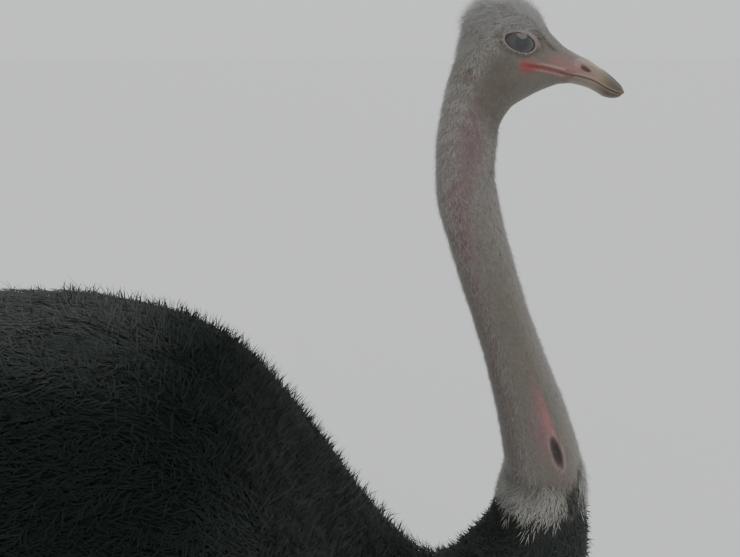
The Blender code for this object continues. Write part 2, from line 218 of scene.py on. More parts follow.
def tube(name, rings, marks=None):
    # A closed solid through rings of points, each end shut by a fan round the ring's middle; marks are per ring point
    rows, columns = rings.shape[:2]
    count, base = rows * columns, (rows - 1) * columns
    j = np.arange(columns)
    k = (j + 1) % columns
    points = np.concatenate([rings.reshape(-1, 3), rings[0].mean(0)[None], rings[-1].mean(0)[None]])
    faces = [
        gridFaces(rows, columns),
        np.stack([np.full(columns, count), k, j], -1),
        np.stack([np.full(columns, count + 1), base + j, base + k], -1),
    ]
    flat = {}
    for key, values in (marks or {}).items():
        values = np.broadcast_to(values, (rows, columns))
        flat[key] = np.concatenate([values.ravel(), values[0, :1], values[-1, :1]])
    return buildMesh(name, points, facesOut(points, faces), marks=flat)


def readValues(items, key, width=1, kind=np.float32):
    # One property of every item of a mesh
    values = np.empty(len(items) * width, kind)
    items.foreach_get(key, values)
    return values.reshape(-1, width) if width > 1 else values


def meshPoints(obj):
    return readValues(obj.data.vertices, "co", 3).astype(float)


def applyModifiers(obj):
    # Replaces the mesh by what its modifiers make of it
    bpy.context.view_layer.update()
    graph = bpy.context.evaluated_depsgraph_get()
    made = bpy.data.meshes.new_from_object(obj.evaluated_get(graph), preserve_all_data_layers=True, depsgraph=graph)
    obj.modifiers.clear()
    obj.data = made
    return obj


def surfaceField(shell, places, turnCount):
    # A shell on a grid with, at each point, its outward normal and how the point moves with place and with turn
    turns = allRound(turnCount)
    grid = shell(places[:, None], turns[None, :])
    along = np.gradient(grid, places, axis=0)
    around = (np.roll(grid, -1, 1) - np.roll(grid, 1, 1)) / (4 * math.pi / turnCount)
    normal = unit(np.cross(around, along))
    return {"places": places, "data": np.concatenate([grid, normal, along, around], -1)}


def readField(field, place, turn):
    # Point, normal, along and around at any place and turn, straight lines between the grid's points
    data, places = field["data"], field["places"]
    columns = data.shape[1]
    i = np.interp(place, places, np.arange(len(places)))
    i0 = np.clip(np.floor(i).astype(int), 0, len(places) - 2)
    j = (turn / (2 * math.pi) % 1) * columns
    j0 = np.floor(j).astype(int)
    f, g = (i - i0)[..., None], (j - j0)[..., None]
    j0, j1 = j0 % columns, (j0 + 1) % columns
    near = data[i0, j0] * (1 - g) + data[i0, j1] * g
    far = data[i0 + 1, j0] * (1 - g) + data[i0 + 1, j1] * g
    value = near * (1 - f) + far * f
    beyond = np.maximum(place - places[-1], 0)[..., None]
    return value[..., 0:3] + beyond * value[..., 6:9], unit(value[..., 3:6]), value[..., 6:9], value[..., 9:12]


def spreadRoots(field, count, weight):
    # Even cover: the additive sequence of steps 0.7549 and 0.5698, mapped through the share of area below each value
    places = field["places"]
    area = np.linalg.norm(np.cross(field["data"][..., 6:9], field["data"][..., 9:12]), axis=-1)
    columns = area.shape[1]
    area = area * weight(places[:, None], allRound(columns)[None, :], field["data"][..., 0:3])
    n = np.arange(1, count + 1)
    first, second = (0.5 + 0.7548776662 * n) % 1, (0.5 + 0.5698402910 * n) % 1
    step = np.gradient(places)
    below = np.concatenate([[0], np.cumsum(area.sum(1) * step)])
    edges = np.concatenate([[places[0]], (places[1:] + places[:-1]) / 2, [places[-1]]])
    place = np.interp(first * below[-1], below, edges)
    around = np.concatenate([np.zeros((len(places), 1)), np.cumsum(area, 1)], 1)
    around /= np.maximum(around[:, -1:], 1e-12)
    fine = 256  # steps of the inverse round the ring
    shares = np.linspace(0, 1, fine + 1)
    inverse = np.stack([np.interp(shares, row, np.arange(columns + 1) / columns) for row in around])
    i = np.clip(np.rint(np.interp(place, places, np.arange(len(places)))).astype(int), 0, len(places) - 1)
    j = second * fine
    j0 = np.minimum(np.floor(j).astype(int), fine - 1)
    turn = (inverse[i, j0] * (j0 + 1 - j) + inverse[i, j0 + 1] * (j - j0)) * 2 * math.pi
    return place, turn


def layPaths(field, place, turn, length, steps, flow):
    # Walks from each root over the surface; flow gives the heading, and the surface's own metric turns it into steps
    place, turn = place.copy(), turn.copy()
    kept = []
    for _ in range(steps):
        point, normal, along, around = readField(field, place, turn)
        heading = flow(point, normal, along)
        heading = unit(heading - normal * dot(heading, normal)[..., None])
        kept.append(np.stack([point, normal, heading], -2))
        e, f, g = dot(along, along), dot(along, around), dot(around, around)
        p, q = dot(heading, along), dot(heading, around)
        scale = length / (steps - 1) / np.maximum(e * g - f * f, 1e-12)
        place = place + scale * (p * g - q * f)
        turn = turn + scale * (q * e - p * f)
    kept = np.stack(kept, 1)
    return kept[:, :, 0], kept[:, :, 1], kept[:, :, 2]


coatUv = {"margin": 0.01, "patch": 0.003}  # the unwrap's empty edge, and the side of one tuft's patch on it
blade = {
    "ridge": 0.7,  # height of the top over the edges, in half widths
    "spread": 0.12,  # how far the edges lie from the middle in the tuft's patch
    "facing": 0.8, "own": 0.2,  # shares of the way the coat faces at the root and of its own lift in its shading
}


def strandMesh(name, centres, sides, lifts, widths, rootUv, localUv, marks, facing):
    # Thin closed blades: a triangle (left, right, top) at each point of a centre line, narrowing to one point.
    # centres, sides and lifts are strands x points x 3, widths strands x points, localUv strands x points x 2
    strands, steps = centres.shape[:2]

    def perPoint(values, offsets=0.0):
        # A value for each of a triangle's three points, and one for the tip
        return np.concatenate([np.repeat(values[:, :-1], 3, 1) + offsets, values[:, -1:]], 1)

    half = widths[..., None] / 2
    left, right = centres - sides * half, centres + sides * half
    top = centres + lifts * half * blade["ridge"]
    rings = np.stack([left, right, top], 2)[:, :-1].reshape(strands, -1, 3)
    points = np.concatenate([rings, centres[:, -1:]], 1)
    each = points.shape[1]
    faces = [(0, 2, 1)]
    for a in range(0, 3 * (steps - 2), 3):
        for m in range(3):
            n = (m + 1) % 3
            faces += [(a + m, a + n, a + n + 3), (a + m, a + n + 3, a + m + 3)]
    faces += [(each - 4 + m, each - 4 + (m + 1) % 3, each - 1) for m in range(3)]
    faces = (np.array(faces)[None] + (np.arange(strands) * each)[:, None, None]).reshape(-1, 3)
    points = points.reshape(-1, 3)
    spread = np.array([[-1.0, 0.0], [1.0, 0.0], [0.0, 0.0]]) * blade["spread"]
    spot = perPoint(localUv, np.tile(spread, (steps - 1, 1)))
    uv = rootUv[:, None] + (np.clip(spot, 0, 1) - 0.5) * coatUv["patch"]
    marks = {key: perPoint(np.broadcast_to(values, (strands, steps))).ravel() for key, values in marks.items()}
    facing = facing[:, None] if facing.ndim == 2 else facing
    shaded = perPoint(unit(blade["facing"] * facing + blade["own"] * lifts))
    return buildMesh(name, points, facesOut(points, [faces]), uv.reshape(-1, 2), marks, shaded.reshape(-1, 3))


def atShares(values, shares):
    # Values along a path (strands x points x anything) read at shares from 0 to 1 (strands x any count)
    steps = values.shape[1] - 1
    s = np.clip(shares, 0, 1) * steps
    k = np.minimum(np.floor(s).astype(int), steps - 1)
    f = s - k
    who = np.arange(len(values))[:, None]
    if values.ndim == 3:
        f = f[..., None]
    return values[who, k] * (1 - f) + values[who, k + 1] * f


# Painted light: a pale haze where light falls, on the upward faces of the back and on the breast, laid on the feathers
# and on the skin under them
skyLitHaze = {
    "least": 0.63, "span": 0.37, "power": 2.6,  # of the upright share of the way the feathers face
    "back": 0.46, "backHeights": (-0.66, -0.52), "breast": 0.30, "breastReach": (-0.46, -0.24),
}


def skyLitShare(points, normals):
    # Painted sky light, a pale haze: ((n - least) / span)^power of the upright share n of the way the back faces, and a
    # little painted light on the breast
    up = np.clip((normals[..., 2] - skyLitHaze["least"]) / skyLitHaze["span"], 0, 1) ** skyLitHaze["power"]
    low, high = skyLitHaze["backHeights"]
    back = skyLitHaze["back"] * (up * smoothStep(eyeZ + low, eyeZ + high, points[..., 2]))
    low, high = skyLitHaze["breastReach"]
    return back + skyLitHaze["breast"] * smoothStep(eyeX + low, eyeX + high, points[..., 0])


def curledBlades(name, root, start, bend, length, up, settings, narrow, uv, local, marks, wide=1.0):
    # Blades along root + length * (r * start + r^2 * bend), r from 0 to 1, narrowing by the share narrow.
    # local is (a, b, c, d) of each blade's place in its tuft's patch: a + b r across it and c + d r along it
    r = np.linspace(0, 1, settings["points"])[None, :, None]
    centre = root[:, None] + length * (start[:, None] * r + bend[:, None] * r**2)
    tangent = unit(start[:, None] + 2 * r * bend[:, None])
    flat = unit(np.cross(tangent, np.broadcast_to(up[:, None], centre.shape)))
    r = r[..., 0]
    widths = np.broadcast_to(settings["width"] * (1 - narrow * r), centre.shape[:2]) * wide
    a, b, c, d = local
    across, along = (np.broadcast_to(v, centre.shape[:2]) for v in (a + b * r, c + d * r))
    marks = {"reach": along, **marks}
    lifts = unit(np.cross(flat, tangent))
    return strandMesh(name, centre, flat, lifts, widths, uv, np.stack([across, along], -1), marks, up)


def plumes(name, path, lift, uv, look):
    # Feathers with a shaft and free barbs. path: points, normals, headings (feathers x points x 3), each feather's
    # shaft raised by lift. The barbs' angle closes towards the tip, and they curl up, inwards and down by gravity
    point, normal, _ = path
    feathers, barbs = len(point), look["barbs"]
    strands = feathers * barbs
    rng = np.random.default_rng(look["seed"])
    shaft = point + normal * lift[..., None]
    share = (np.arange(barbs)[None] + 0.2 + 0.6 * rng.random((feathers, barbs))) / barbs
    share = look["bare"] + (1 - look["bare"]) * share
    sign = np.where(np.arange(barbs) % 2 == 0, 1.0, -1.0)[None]
    root = atShares(shaft, share)
    up = unit(atShares(normal, share))
    forward = unit(np.gradient(shaft, axis=1))
    ahead = unit(atShares(forward, share))
    up = unit(up - ahead * dot(up, ahead)[..., None])
    side = np.cross(ahead, up) * sign[..., None]
    root = root + side * np.abs(rng.normal(0, look["scatter"], share.shape))[..., None]
    angle = look["angle"][0] + (look["angle"][1] - look["angle"][0]) * share
    angle = angle * (1 + look["loose"] * (rng.random(share.shape) - 0.5))
    raised = look["rise"] * (rng.random(share.shape) * 1.6 - 0.5)
    away = unit(ahead * np.cos(angle)[..., None] + side * np.sin(angle)[..., None] + up * raised[..., None])
    grow = np.interp(share, look["shape"][0], look["shape"][1])
    length = look["barb"] * grow * (0.75 + 0.5 * rng.random(share.shape)) * look["scale"][:, None]
    curlUp = look["curl"] * (rng.random(share.shape) * 1.5 - 0.35)
    curlIn = look["sweep"] * (0.4 + 0.8 * rng.random(share.shape))
    bend = up * curlUp[..., None] + ahead * curlIn[..., None] - side * (0.35 * curlIn)[..., None]
    bend = bend + np.array([0, 0, -1.0]) * look["droop"]
    root, away, bend, up = (v.reshape(strands, 3) for v in (root, away, bend, up))
    marks = {
        "shade": np.repeat(rng.random(feathers), barbs)[:, None] * 0.4 + 0.6 * rng.random(strands)[:, None],
        # painted sky light on each barb, by where it roots and how it faces
        "skyLitHaze": skyLitShare(root, up)[:, None],
    }
    local = (0.5, (0.4 * sign + 0 * share).reshape(strands, 1), share.reshape(strands, 1) * 0.8, 0.2)
    wide = np.repeat(look["scale"], barbs)[:, None]
    length, barbUv = length.reshape(strands, 1, 1), np.repeat(uv, barbs, 0)
    pieces = [curledBlades(name, root, away, bend, length, up, look, 0.75, barbUv, local, marks, wide)]
    if look["shaft"]:
        thick = look["shaft"] * np.linspace(1, 0.25, shaft.shape[1])[None] * np.ones((feathers, 1))
        across = unit(np.cross(forward, normal))
        reach = np.broadcast_to(np.linspace(0, 1, shaft.shape[1]), thick.shape)
        local = np.stack([np.full(thick.shape, 0.5), reach], -1)
        marks = {"reach": reach, "shade": 1.6, "skyLitHaze": 0.0}
        pieces.append(strandMesh(
            name + "Shafts", shaft, across, unit(np.cross(across, forward)), thick, uv, local, marks, normal))
    return joinMeshes(name, pieces)


def joinMeshes(name, pieces):
    if len(pieces) > 1:
        with bpy.context.temp_override(active_object=pieces[0], selected_editable_objects=pieces):
            bpy.ops.object.join()
    pieces[0].name = name
    return pieces[0]


def feed(tree, socket, value):
    # A socket takes another node's output, a number, or a tone of three shares
    if isinstance(value, bpy.types.NodeSocket):
        tree.links.new(value, socket)
    else:
        socket.default_value = (*value, 1.0) if socket.type == "RGBA" and len(value) == 3 else value


def addNode(tree, kind, inputs=None, **settings):
    # One node; inputs is a dictionary of socket name or number to a value or to another node's output
    node = tree.nodes.new(kind)
    for key, value in settings.items():
        setattr(node, key, value)
    for key, value in (inputs or {}).items():
        feed(tree, node.inputs[key], value)
    return node


def mixColour(tree, share, first, second):
    inputs = {0: share, 6: first, 7: second}
    return addNode(tree, "ShaderNodeMix", inputs, data_type="RGBA", clamp_factor=True).outputs[2]


def mark(tree, name):
    return addNode(tree, "ShaderNodeAttribute", attribute_name=name).outputs["Fac"]


def calculate(tree, operation, first, second=0.0, third=0.0):
    return addNode(tree, "ShaderNodeMath", {0: first, 1: second, 2: third}, operation=operation).outputs[0]


def times(tree, first, second):
    return calculate(tree, "MULTIPLY", first, second)


def ramp(tree, value, low, high):
    # 0 at low, 1 at high, straight between
    return addNode(tree, "ShaderNodeMapRange", {0: value, 1: low, 2: high}, clamp=True).outputs[0]


def laidOver(tree, colour, layers):
    # Tones laid one over another, each by a share: the name of a mark, or a node's output
    for share, tone in layers:
        colour = mixColour(tree, mark(tree, share) if isinstance(share, str) else share, colour, tone)
    return colour


def newMaterial(name):
    material = bpy.data.materials.new(name)
    material.use_nodes = True
    return material, material.node_tree


def surface(material, values, height=None, strength=0.0, distance=0.0):
    # Values by the name of the shader's socket, and fine relief from a height
    tree = material.node_tree
    shader = tree.nodes["Principled BSDF"]
    for key, value in values.items():
        feed(tree, shader.inputs[key], value)
    if height:
        bump = addNode(tree, "ShaderNodeBump", {"Strength": strength, "Distance": distance, "Height": height})
        feed(tree, shader.inputs["Normal"], bump.outputs[0])
    return material


def speckleGroup():
    # Two sizes of cloudy noise on Object coordinates: Mask for mottling, Height for fine relief
    group = bpy.data.node_groups.new("speckle", "ShaderNodeTree")
    for label, value in (("Scale", 60.0), ("Contrast", 1.0), ("Fine", 6.0)):
        group.interface.new_socket(label, in_out="INPUT", socket_type="NodeSocketFloat").default_value = value
    for label in ("Mask", "Height"):
        group.interface.new_socket(label, in_out="OUTPUT", socket_type="NodeSocketFloat")
    given, result = group.nodes.new("NodeGroupInput").outputs, group.nodes.new("NodeGroupOutput").inputs
    place = addNode(group, "ShaderNodeTexCoord").outputs["Object"]
    fineScale = times(group, given["Scale"], given["Fine"])
    large = addNode(group, "ShaderNodeTexNoise", {"Vector": place, "Scale": given["Scale"], "Detail": 4.0})
    small = addNode(group, "ShaderNodeTexNoise", {"Vector": place, "Scale": fineScale, "Detail": 3.0})
    centred = calculate(group, "SUBTRACT", large.outputs[0], 0.5)
    scaled = calculate(group, "MULTIPLY_ADD", centred, given["Contrast"], 0.5)
    feed(group, result["Mask"], scaled)
    feed(group, result["Height"], calculate(group, "MULTIPLY_ADD", small.outputs[0], 0.5, scaled))
    return group


speckle = speckleGroup()


def speckled(tree, scale, contrast):
    node = addNode(tree, "ShaderNodeGroup", {}, node_tree=speckle)
    node.inputs["Scale"].default_value, node.inputs["Contrast"].default_value = scale, contrast
    return node.outputs["Mask"], node.outputs["Height"]


def growth(tree, scale, detail):
    # Noise drawn out along the body or the bill by its three scales on Object coordinates
    place = addNode(tree, "ShaderNodeTexCoord").outputs["Object"]
    stretched = addNode(tree, "ShaderNodeMapping", {"Vector": place, "Scale": scale}).outputs[0]
    return addNode(tree, "ShaderNodeTexNoise", {"Vector": stretched, "Scale": 1.0, "Detail": detail}).outputs[0]


skinColours = {
    "grey": (0.128, 0.114, 0.098),
    "pale": (0.192, 0.174, 0.150),
    "mauve": (0.136, 0.070, 0.080),
    "face": (0.106, 0.092, 0.071),
    "frost": (0.235, 0.232, 0.228),
    "red": (0.245, 0.032, 0.031),
    "rose": (0.218, 0.058, 0.056),
    "pink": (0.255, 0.118, 0.116),
    "rim": (0.330, 0.290, 0.262),
    # the scab's colour, also laid on as painted shade in the head's folds, the ear's pit and the gape's groove, and
    # darkening the soles within 12 mm of the ground
    "sore": (0.021, 0.0095, 0.0085),
    "feathered": (0.004, 0.0045, 0.005),
    "leg": (0.270, 0.185, 0.150),
    "legPale": (0.390, 0.310, 0.260),
}


def skinMaterial():
    material, tree = newMaterial("skin")
    c = skinColours
    mottle, fineHeight = speckled(tree, 230.0, 3.0)
    broad, _ = speckled(tree, 22.0, 2.4)
    patchy = times(tree, mark(tree, "mauve"), calculate(tree, "ADD", broad, 0.30))
    leg, blush = mixColour(tree, broad, c["leg"], c["legPale"]), mixColour(tree, broad, c["red"], c["rose"])
    colour = laidOver(tree, mixColour(tree, mottle, c["grey"], c["pale"]), [
        ("frost", c["frost"]), (times(tree, mark(tree, "face"), 0.75), c["face"]), (patchy, c["mauve"]),
        # dark: the scab on the neck, and painted shade in the brow and lid folds, inside the lids, in the gape's groove
        # and in the ear's pit
        ("limb", leg), ("flush", blush), ("pink", c["pink"]), ("rim", c["rim"]), ("dark", c["sore"]),
        ("feathered", c["feathered"]),
    ])
    place = addNode(tree, "ShaderNodeTexCoord").outputs["Object"]
    cells = addNode(tree, "ShaderNodeTexVoronoi", {"Vector": place, "Scale": 420.0}, feature="DISTANCE_TO_EDGE")
    pebbled = times(tree, ramp(tree, cells.outputs["Distance"], 0.0, 0.25), mark(tree, "limb"))
    height = calculate(tree, "ADD", fineHeight, pebbled)
    values = {"Base Color": colour, "Roughness": 0.62, "Subsurface Weight": 0.0, "Sheen Weight": 0.12}
    return surface(material, values, height, 0.55, 0.0012)


def darkSkinMaterial():
    # Skin under the black feathers, as dark as their roots and streaked along the body as vanes are
    material, tree = newMaterial("dark skin")
    vanes = growth(tree, (60.0, 330.0, 210.0), 4.0)
    colour = mixColour(tree, vanes, (0.0046, 0.0074, 0.0060), (0.0094, 0.0152, 0.0125))
    # painted sky light, as on the feathers above
    colour = mixColour(tree, mark(tree, "skyLitHaze"), colour, (0.080, 0.088, 0.084))
    values = {"Base Color": colour, "Roughness": 0.9, "Specular IOR Level": 0.05}
    return surface(material, values, vanes, 0.9, 0.004)


lids = {
    "ball": (0.0245, 0.0215, 0.0235),
    "opening": (0.0196, 0.0104),  # half length and half height of the gap between the lids
    "tilt": math.radians(18),  # the front corner is the lower one
    "corner": 0.0335,
    "thick": 0.0014,
    "reach": 2.4,  # the lids blend into the head between their edge and this many times the opening
}
brow = [  # the fold over the eye, that runs on down to the lore
    (-0.0320, 0.0120), (-0.0285, 0.0203), (-0.0143, 0.0239), (0.0000, 0.0212), (0.0143, 0.0096), (0.0268, -0.0047),
    (0.0429, -0.0154),
]
gape = {
    "line": [(-0.0045, -0.0297), (0.0120, -0.0302), (0.0235, -0.0315), (0.0375, -0.0345), (0.0500, -0.0375),
             (0.0640, -0.0408)],
    "groove": 0.0017,
    "lip": 0.0011,
}
ear = {"place": (-0.0650, -0.0340), "size": (0.0042, 0.0072), "tilt": math.radians(15), "deep": 0.0036}
skinShape = {
    "depthRows": [3.55, 4.0, 4.4, 11, 13, 18.0, 19.2, 20.5, 22.5, 25, 29, 31, 32],
    "depth": [0.0022, -0.0003, 0.0002, 0.0012, 0.0024, 0.0028, 0.0034, 0.0034, 0.0036, 0.0060, 0.0090, 0.0090, 0.0060],
    "sides": 152,
    # rows over which the head's markings end, the neck's begin and end, and the dark feathered skin begins
    "headEnds": (10.5, 11.5), "neckBegins": (9.5, 12.0), "neckEnds": (18.6, 19.6), "feathersBegin": (18.5, 19.3),
    "sore": (17.63, 4.43),  # row and turn of the old wound on the right side of the neck
    "streak": [(16.45, 4.35), (16.90, 4.39), (17.25, 4.43)],
}


def coatDepth(place, turn):
    # How far the skin lies inside the outline; the belly's coat is thinner than the back's
    deep = np.interp(place, skinShape["depthRows"], skinShape["depth"])
    below = np.clip(-np.cos(turn), 0, 1) * smoothStep(21, 25, place)
    waver = 0.0007 * np.sin(5 * turn + 1.0) * bell(place, 3.7, 0.25)
    return deep * (1 - 0.5 * below) + waver


def waves(points, length, seed):
    # Smooth unevenness, mostly from -1 to 1: 1.6 times the mean of seven sine waves of about that length, in
    # random directions
    rng = np.random.default_rng(seed)
    ways = unit(rng.normal(size=(7, 3))) * (2 * math.pi / length) * rng.uniform(0.7, 1.5, (7, 1))
    return np.sin(points @ ways.T + rng.uniform(0, 6.28, 7)).mean(-1) * 1.6


def lineDistance(x, z, line):
    # Signed distance above a broken line, and how far along it the nearest point is, from 0 to 1
    line = np.asarray(line, float)
    best, signed, along = np.full(x.shape, 9.0), np.zeros(x.shape), np.zeros(x.shape)
    for k, (a, b) in enumerate(zip(line[:-1], line[1:])):
        d = b - a
        share = np.clip(((x - a[0]) * d[0] + (z - a[1]) * d[1]) / (d @ d), 0, 1)
        dx, dz = x - a[0] - share * d[0], z - a[1] - share * d[1]
        far = np.hypot(dx, dz)
        nearer = far < best
        best = np.where(nearer, far, best)
        above = np.sign(dz * d[0] - dx * d[1])
        signed = np.where(nearer, far * above, signed)
        along = np.where(nearer, (k + share) / (len(line) - 1), along)
    return signed, along


def inOval(x, z, tilt, size):
    # x and z turned by a tilt, in shares of an oval's two half sizes
    c, s = math.cos(tilt), math.sin(tilt)
    return (x * c - z * s) / size[0], (x * s + z * c) / size[1]


def eyeShare(x, z):
    # 1 on the edge of the opening between the lids, less inside; with the upright share of the direction
    u, v = inOval(x - eyeAt[0], z - eyeAt[2], lids["tilt"], lids["opening"])
    r = np.hypot(u, v)
    return r, v / np.maximum(r, 1e-9)


def ballFace(x, z):
    # Distance of the eyeball's face from the midline
    a, b, c = lids["ball"]
    return eyeAt[1] + b * np.sqrt(np.clip(1 - ((x - eyeAt[0]) / a) ** 2 - ((z - eyeAt[2]) / c) ** 2, 0, 1))


def sculptHead(points):
    # Lids, brow, gape, cheek and ear worked into the head, in the head's own measures
    local = points - fromEye
    x, y, z = local[..., 0], np.abs(local[..., 1]), local[..., 2]
    side = np.sign(local[..., 1])
    marks = {}
    facing = smoothStep(0.006, 0.014, y)

    # the mesh is gathered onto the lid's edge: r moves to 1 + (r - 1)(1 - exp(-((r - 1) / 0.12)^2))
    r, _ = eyeShare(x, z)
    moved = 1 + (r - 1) * (1 - np.exp(-(((r - 1) / 0.12) ** 2)))
    factor = 1 + (moved / np.maximum(r, 0.3) - 1) * facing * (r < lids["reach"])
    x, z = eyeAt[0] + (x - eyeAt[0]) * factor, eyeAt[2] + (z - eyeAt[2]) * factor
    r, upward = eyeShare(x, z)
    face = ballFace(x, z)
    upper, lower = smoothStep(-0.15, 0.4, upward), smoothStep(-0.15, 0.4, -upward)
    edge = np.maximum(face + lids["thick"], lids["corner"] + 0 * face)
    edge = edge + 0.0009 * bell(r, 1.07, 0.050) + 0.0009 * upper * bell(r, 1.22, 0.14)
    edge = edge - upper * (0.0013 * bell(r, 1.52, 0.06) - 0.0014 * bell(r, 1.72, 0.10))
    edge = edge - lower * (0.0008 * bell(r, 1.22, 0.05) - 0.0006 * bell(r, 1.34, 0.06) + 0.0006 * bell(r, 1.50, 0.06))
    edge = edge + lower * 0.0005 * bell(r, 1.64, 0.08)
    outward = smoothStep(1.05, 2.1, r)
    y = np.where(facing > 0, y + (edge + (y - edge) * outward - y) * facing * (r < 2.6), y)
    above, along = lineDistance(x, z, brow)
    browHere = facing * smoothStep(0.02, 0.16, along) * (1 - smoothStep(0.90, 1.0, along))
    y = y + browHere * (0.0017 * bell(above, 0.0032, 0.0030) - 0.0012 * bell(above, 0, 0.0013))
    inside = 1 - smoothStep(0.93, 1.0, r)
    y = y - inside * facing * (y - (face - 0.004)) * (r < 1)
    marks["rim"] = np.maximum(bell(r, 1.06, 0.055) * (1 - 0.45 * upper), upper * bell(r, 1.26, 0.20) * 0.35) * facing
    lidPink = upper * bell(r, 1.16, 0.18) * 0.38 * facing
    # painted shade: the fold under the brow and the folds round the lids are darkened, laid on as the dark mark in the
    # scab's colour
    shaded = browHere * bell(above, -0.0002, 0.0016) * 0.34 + bell(r, 1.52, 0.07) * 0.40 * upper
    shaded = shaded + bell(r, 1.30, 0.08) * 0.30 * (1 - upper)
    marks["face"] = 1 - smoothStep(0.006, 0.032, z)
    marks["frost"] = smoothStep(0.004, 0.034, z) * 0.9
    # the dark mark: painted shade inside the lids' opening, behind the eyeball, and the painted shade of the folds
    marks["dark"] = np.maximum(facing * (1 - smoothStep(0.96, 1.0, r)) * 0.9, shaded * facing)

    # the gape runs back from the bill under the eye, with a lip above and below it
    above, along = lineDistance(x, z, gape["line"])
    there = facing * smoothStep(0.0, 0.15, along) * (np.abs(above) < 0.02)
    there = there * (1 - smoothStep(0.049, 0.056, x))
    y = y - gape["groove"] * bell(above, 0, 0.0015) * there
    y = y + gape["lip"] * (bell(above, 0.0036, 0.0022) + 0.8 * bell(above, -0.0034, 0.0020)) * there
    bare = facing * smoothStep(-0.0115, -0.0035, x)
    tall = np.interp(along, [0, 0.35, 1], [0.0078, 0.0046, 0.0050])
    marks["flush"] = bare * bell(above, 0.0006, tall) * (1 - 0.62 * smoothStep(0.30, 0.9, along))
    marks["pink"] = np.maximum(lidPink, facing * smoothStep(0.014, 0.045, x) * bell(above, 0.0080, 0.0105) * 0.85)
    lips = 0.55 * bell(above, 0.0040, 0.0011) + 0.40 * bell(above, -0.0036, 0.0010)
    marks["rim"] = np.maximum(marks["rim"], there * smoothStep(0.10, 0.35, along) * lips)
    # painted shade: a thin dark line in the gape's groove next to the bill
    marks["dark"] = np.maximum(marks["dark"], 0.8 * bell(above, 0, 0.0007) * smoothStep(0.040, 0.052, x) * facing)
    y = y + 0.0018 * bell(x, -0.012, 0.022) * bell(z, -0.049, 0.014) * facing  # cheek
    y = y - 0.0010 * bell(x, 0.036, 0.012) * bell(z, -0.012, 0.008) * facing  # hollow before the eye

    # the ear: an upright oval pit with a raised rim
    e = np.hypot(*inOval(x - ear["place"][0], z - ear["place"][1], ear["tilt"], ear["size"]))
    y = y - facing * (ear["deep"] * (1 - smoothStep(0.2, 1.0, e)) - 0.0012 * bell(e, 1.25, 0.30))
    # painted shade deep in the ear's pit
    marks["dark"] = np.maximum(marks["dark"], facing * (1 - smoothStep(0.1, 0.8, e)) * 0.30)
    marks["pink"] = np.maximum(marks["pink"], facing * bell(e, 1.0, 0.8) * 0.12)
    points = np.stack([x, side * y, z], -1) + fromEye
    return points, marks


def neckMarks(points, normals, place, turn):
    # The neck's flush, streak and sore; the windpipe's ridge and fine creases across it
    onNeck = smoothStep(*skinShape["neckBegins"], place) * (1 - smoothStep(*skinShape["neckEnds"], place))
    lift = 0.0016 * bell(turn, math.pi, 0.38) - 0.0009 * bell(np.abs(turn - math.pi), 0.75, 0.22)
    crease = np.sin(place * 42 + 1.4 * waves(points, 0.08, 3)) * bell(turn, math.pi, 1.3)
    lift = lift + 0.00035 * crease * (1 - smoothStep(13.0, 15.5, place)) + 0.0009 * waves(points, 0.07, 5)
    lift = lift + 0.0003 * waves(points, 0.012, 6)
    blotch = 0.66 + 0.26 * waves(points, 0.022, 14) + 0.20 * waves(points, 0.009, 15)
    fromNape = np.arccos(np.clip(np.cos(turn), -1, 1))
    moves = np.interp(place, [11, 13, 14.5, 16, 17.5], [1.60, 1.50, 1.10, 0.70, 0.50])
    mauve = np.clip(onNeck * bell(fromNape, moves, 0.40) * blotch * (1.1 - 0.6 * smoothStep(16.5, 17.8, place)), 0, 1)
    soreRow, soreTurn = skinShape["sore"]
    dRow, dTurn = (place - soreRow) / 0.27, (turn - soreTurn + 0.10 * (place - soreRow)) / 0.150
    sore = np.hypot(dRow, dTurn)
    lift = lift - 0.0045 * (1 - smoothStep(0.2, 1.0, sore)) + 0.0010 * bell(sore, 1.25, 0.3)
    above, along = lineDistance(place * 0.09, turn, [(p * 0.09, t) for p, t in skinShape["streak"]])
    broad = np.interp(place, [16.4, 17.3], [0.07, 0.23])
    streak = bell(above, 0, broad) * smoothStep(0, 0.1, along) * bell(place, 17.0, 0.50)
    lilac = bell(turn, soreTurn + 0.30, 0.28) * bell(place, 17.15, 0.32)
    frost = bell(fromNape, 2.6, 0.45) * smoothStep(13.0, 15.0, place) * (1 - smoothStep(18.0, 18.8, place)) * 0.30
    olive = smoothStep(13.8, 16.0, place) * (0.70 + 0.34 * blotch) * (1 - 0.8 * bell(fromNape, math.pi, 0.8))
    marks = {
        "mauve": np.clip(np.maximum(mauve, 0.8 * lilac) + 0.9 * streak, 0, 1),
        "flush": 0.24 * streak,
        "pink": np.clip(0.25 * bell(sore, 1.35, 0.45) + 0.60 * streak, 0, 1),
        "dark": (1 - smoothStep(0.70, 1.05, sore)) * (0.85 + 0.15 * blotch),
        "rim": 0.55 * bell(sore, 1.12, 0.10) * (0.4 + 0.6 * smoothStep(0, 0.5, -dTurn)),
        "face": np.clip(olive, 0, 1),
        "frost": np.clip(frost + 0.35 * lilac, 0, 1),
    }
    return points + normals * (lift * onNeck)[..., None], marks


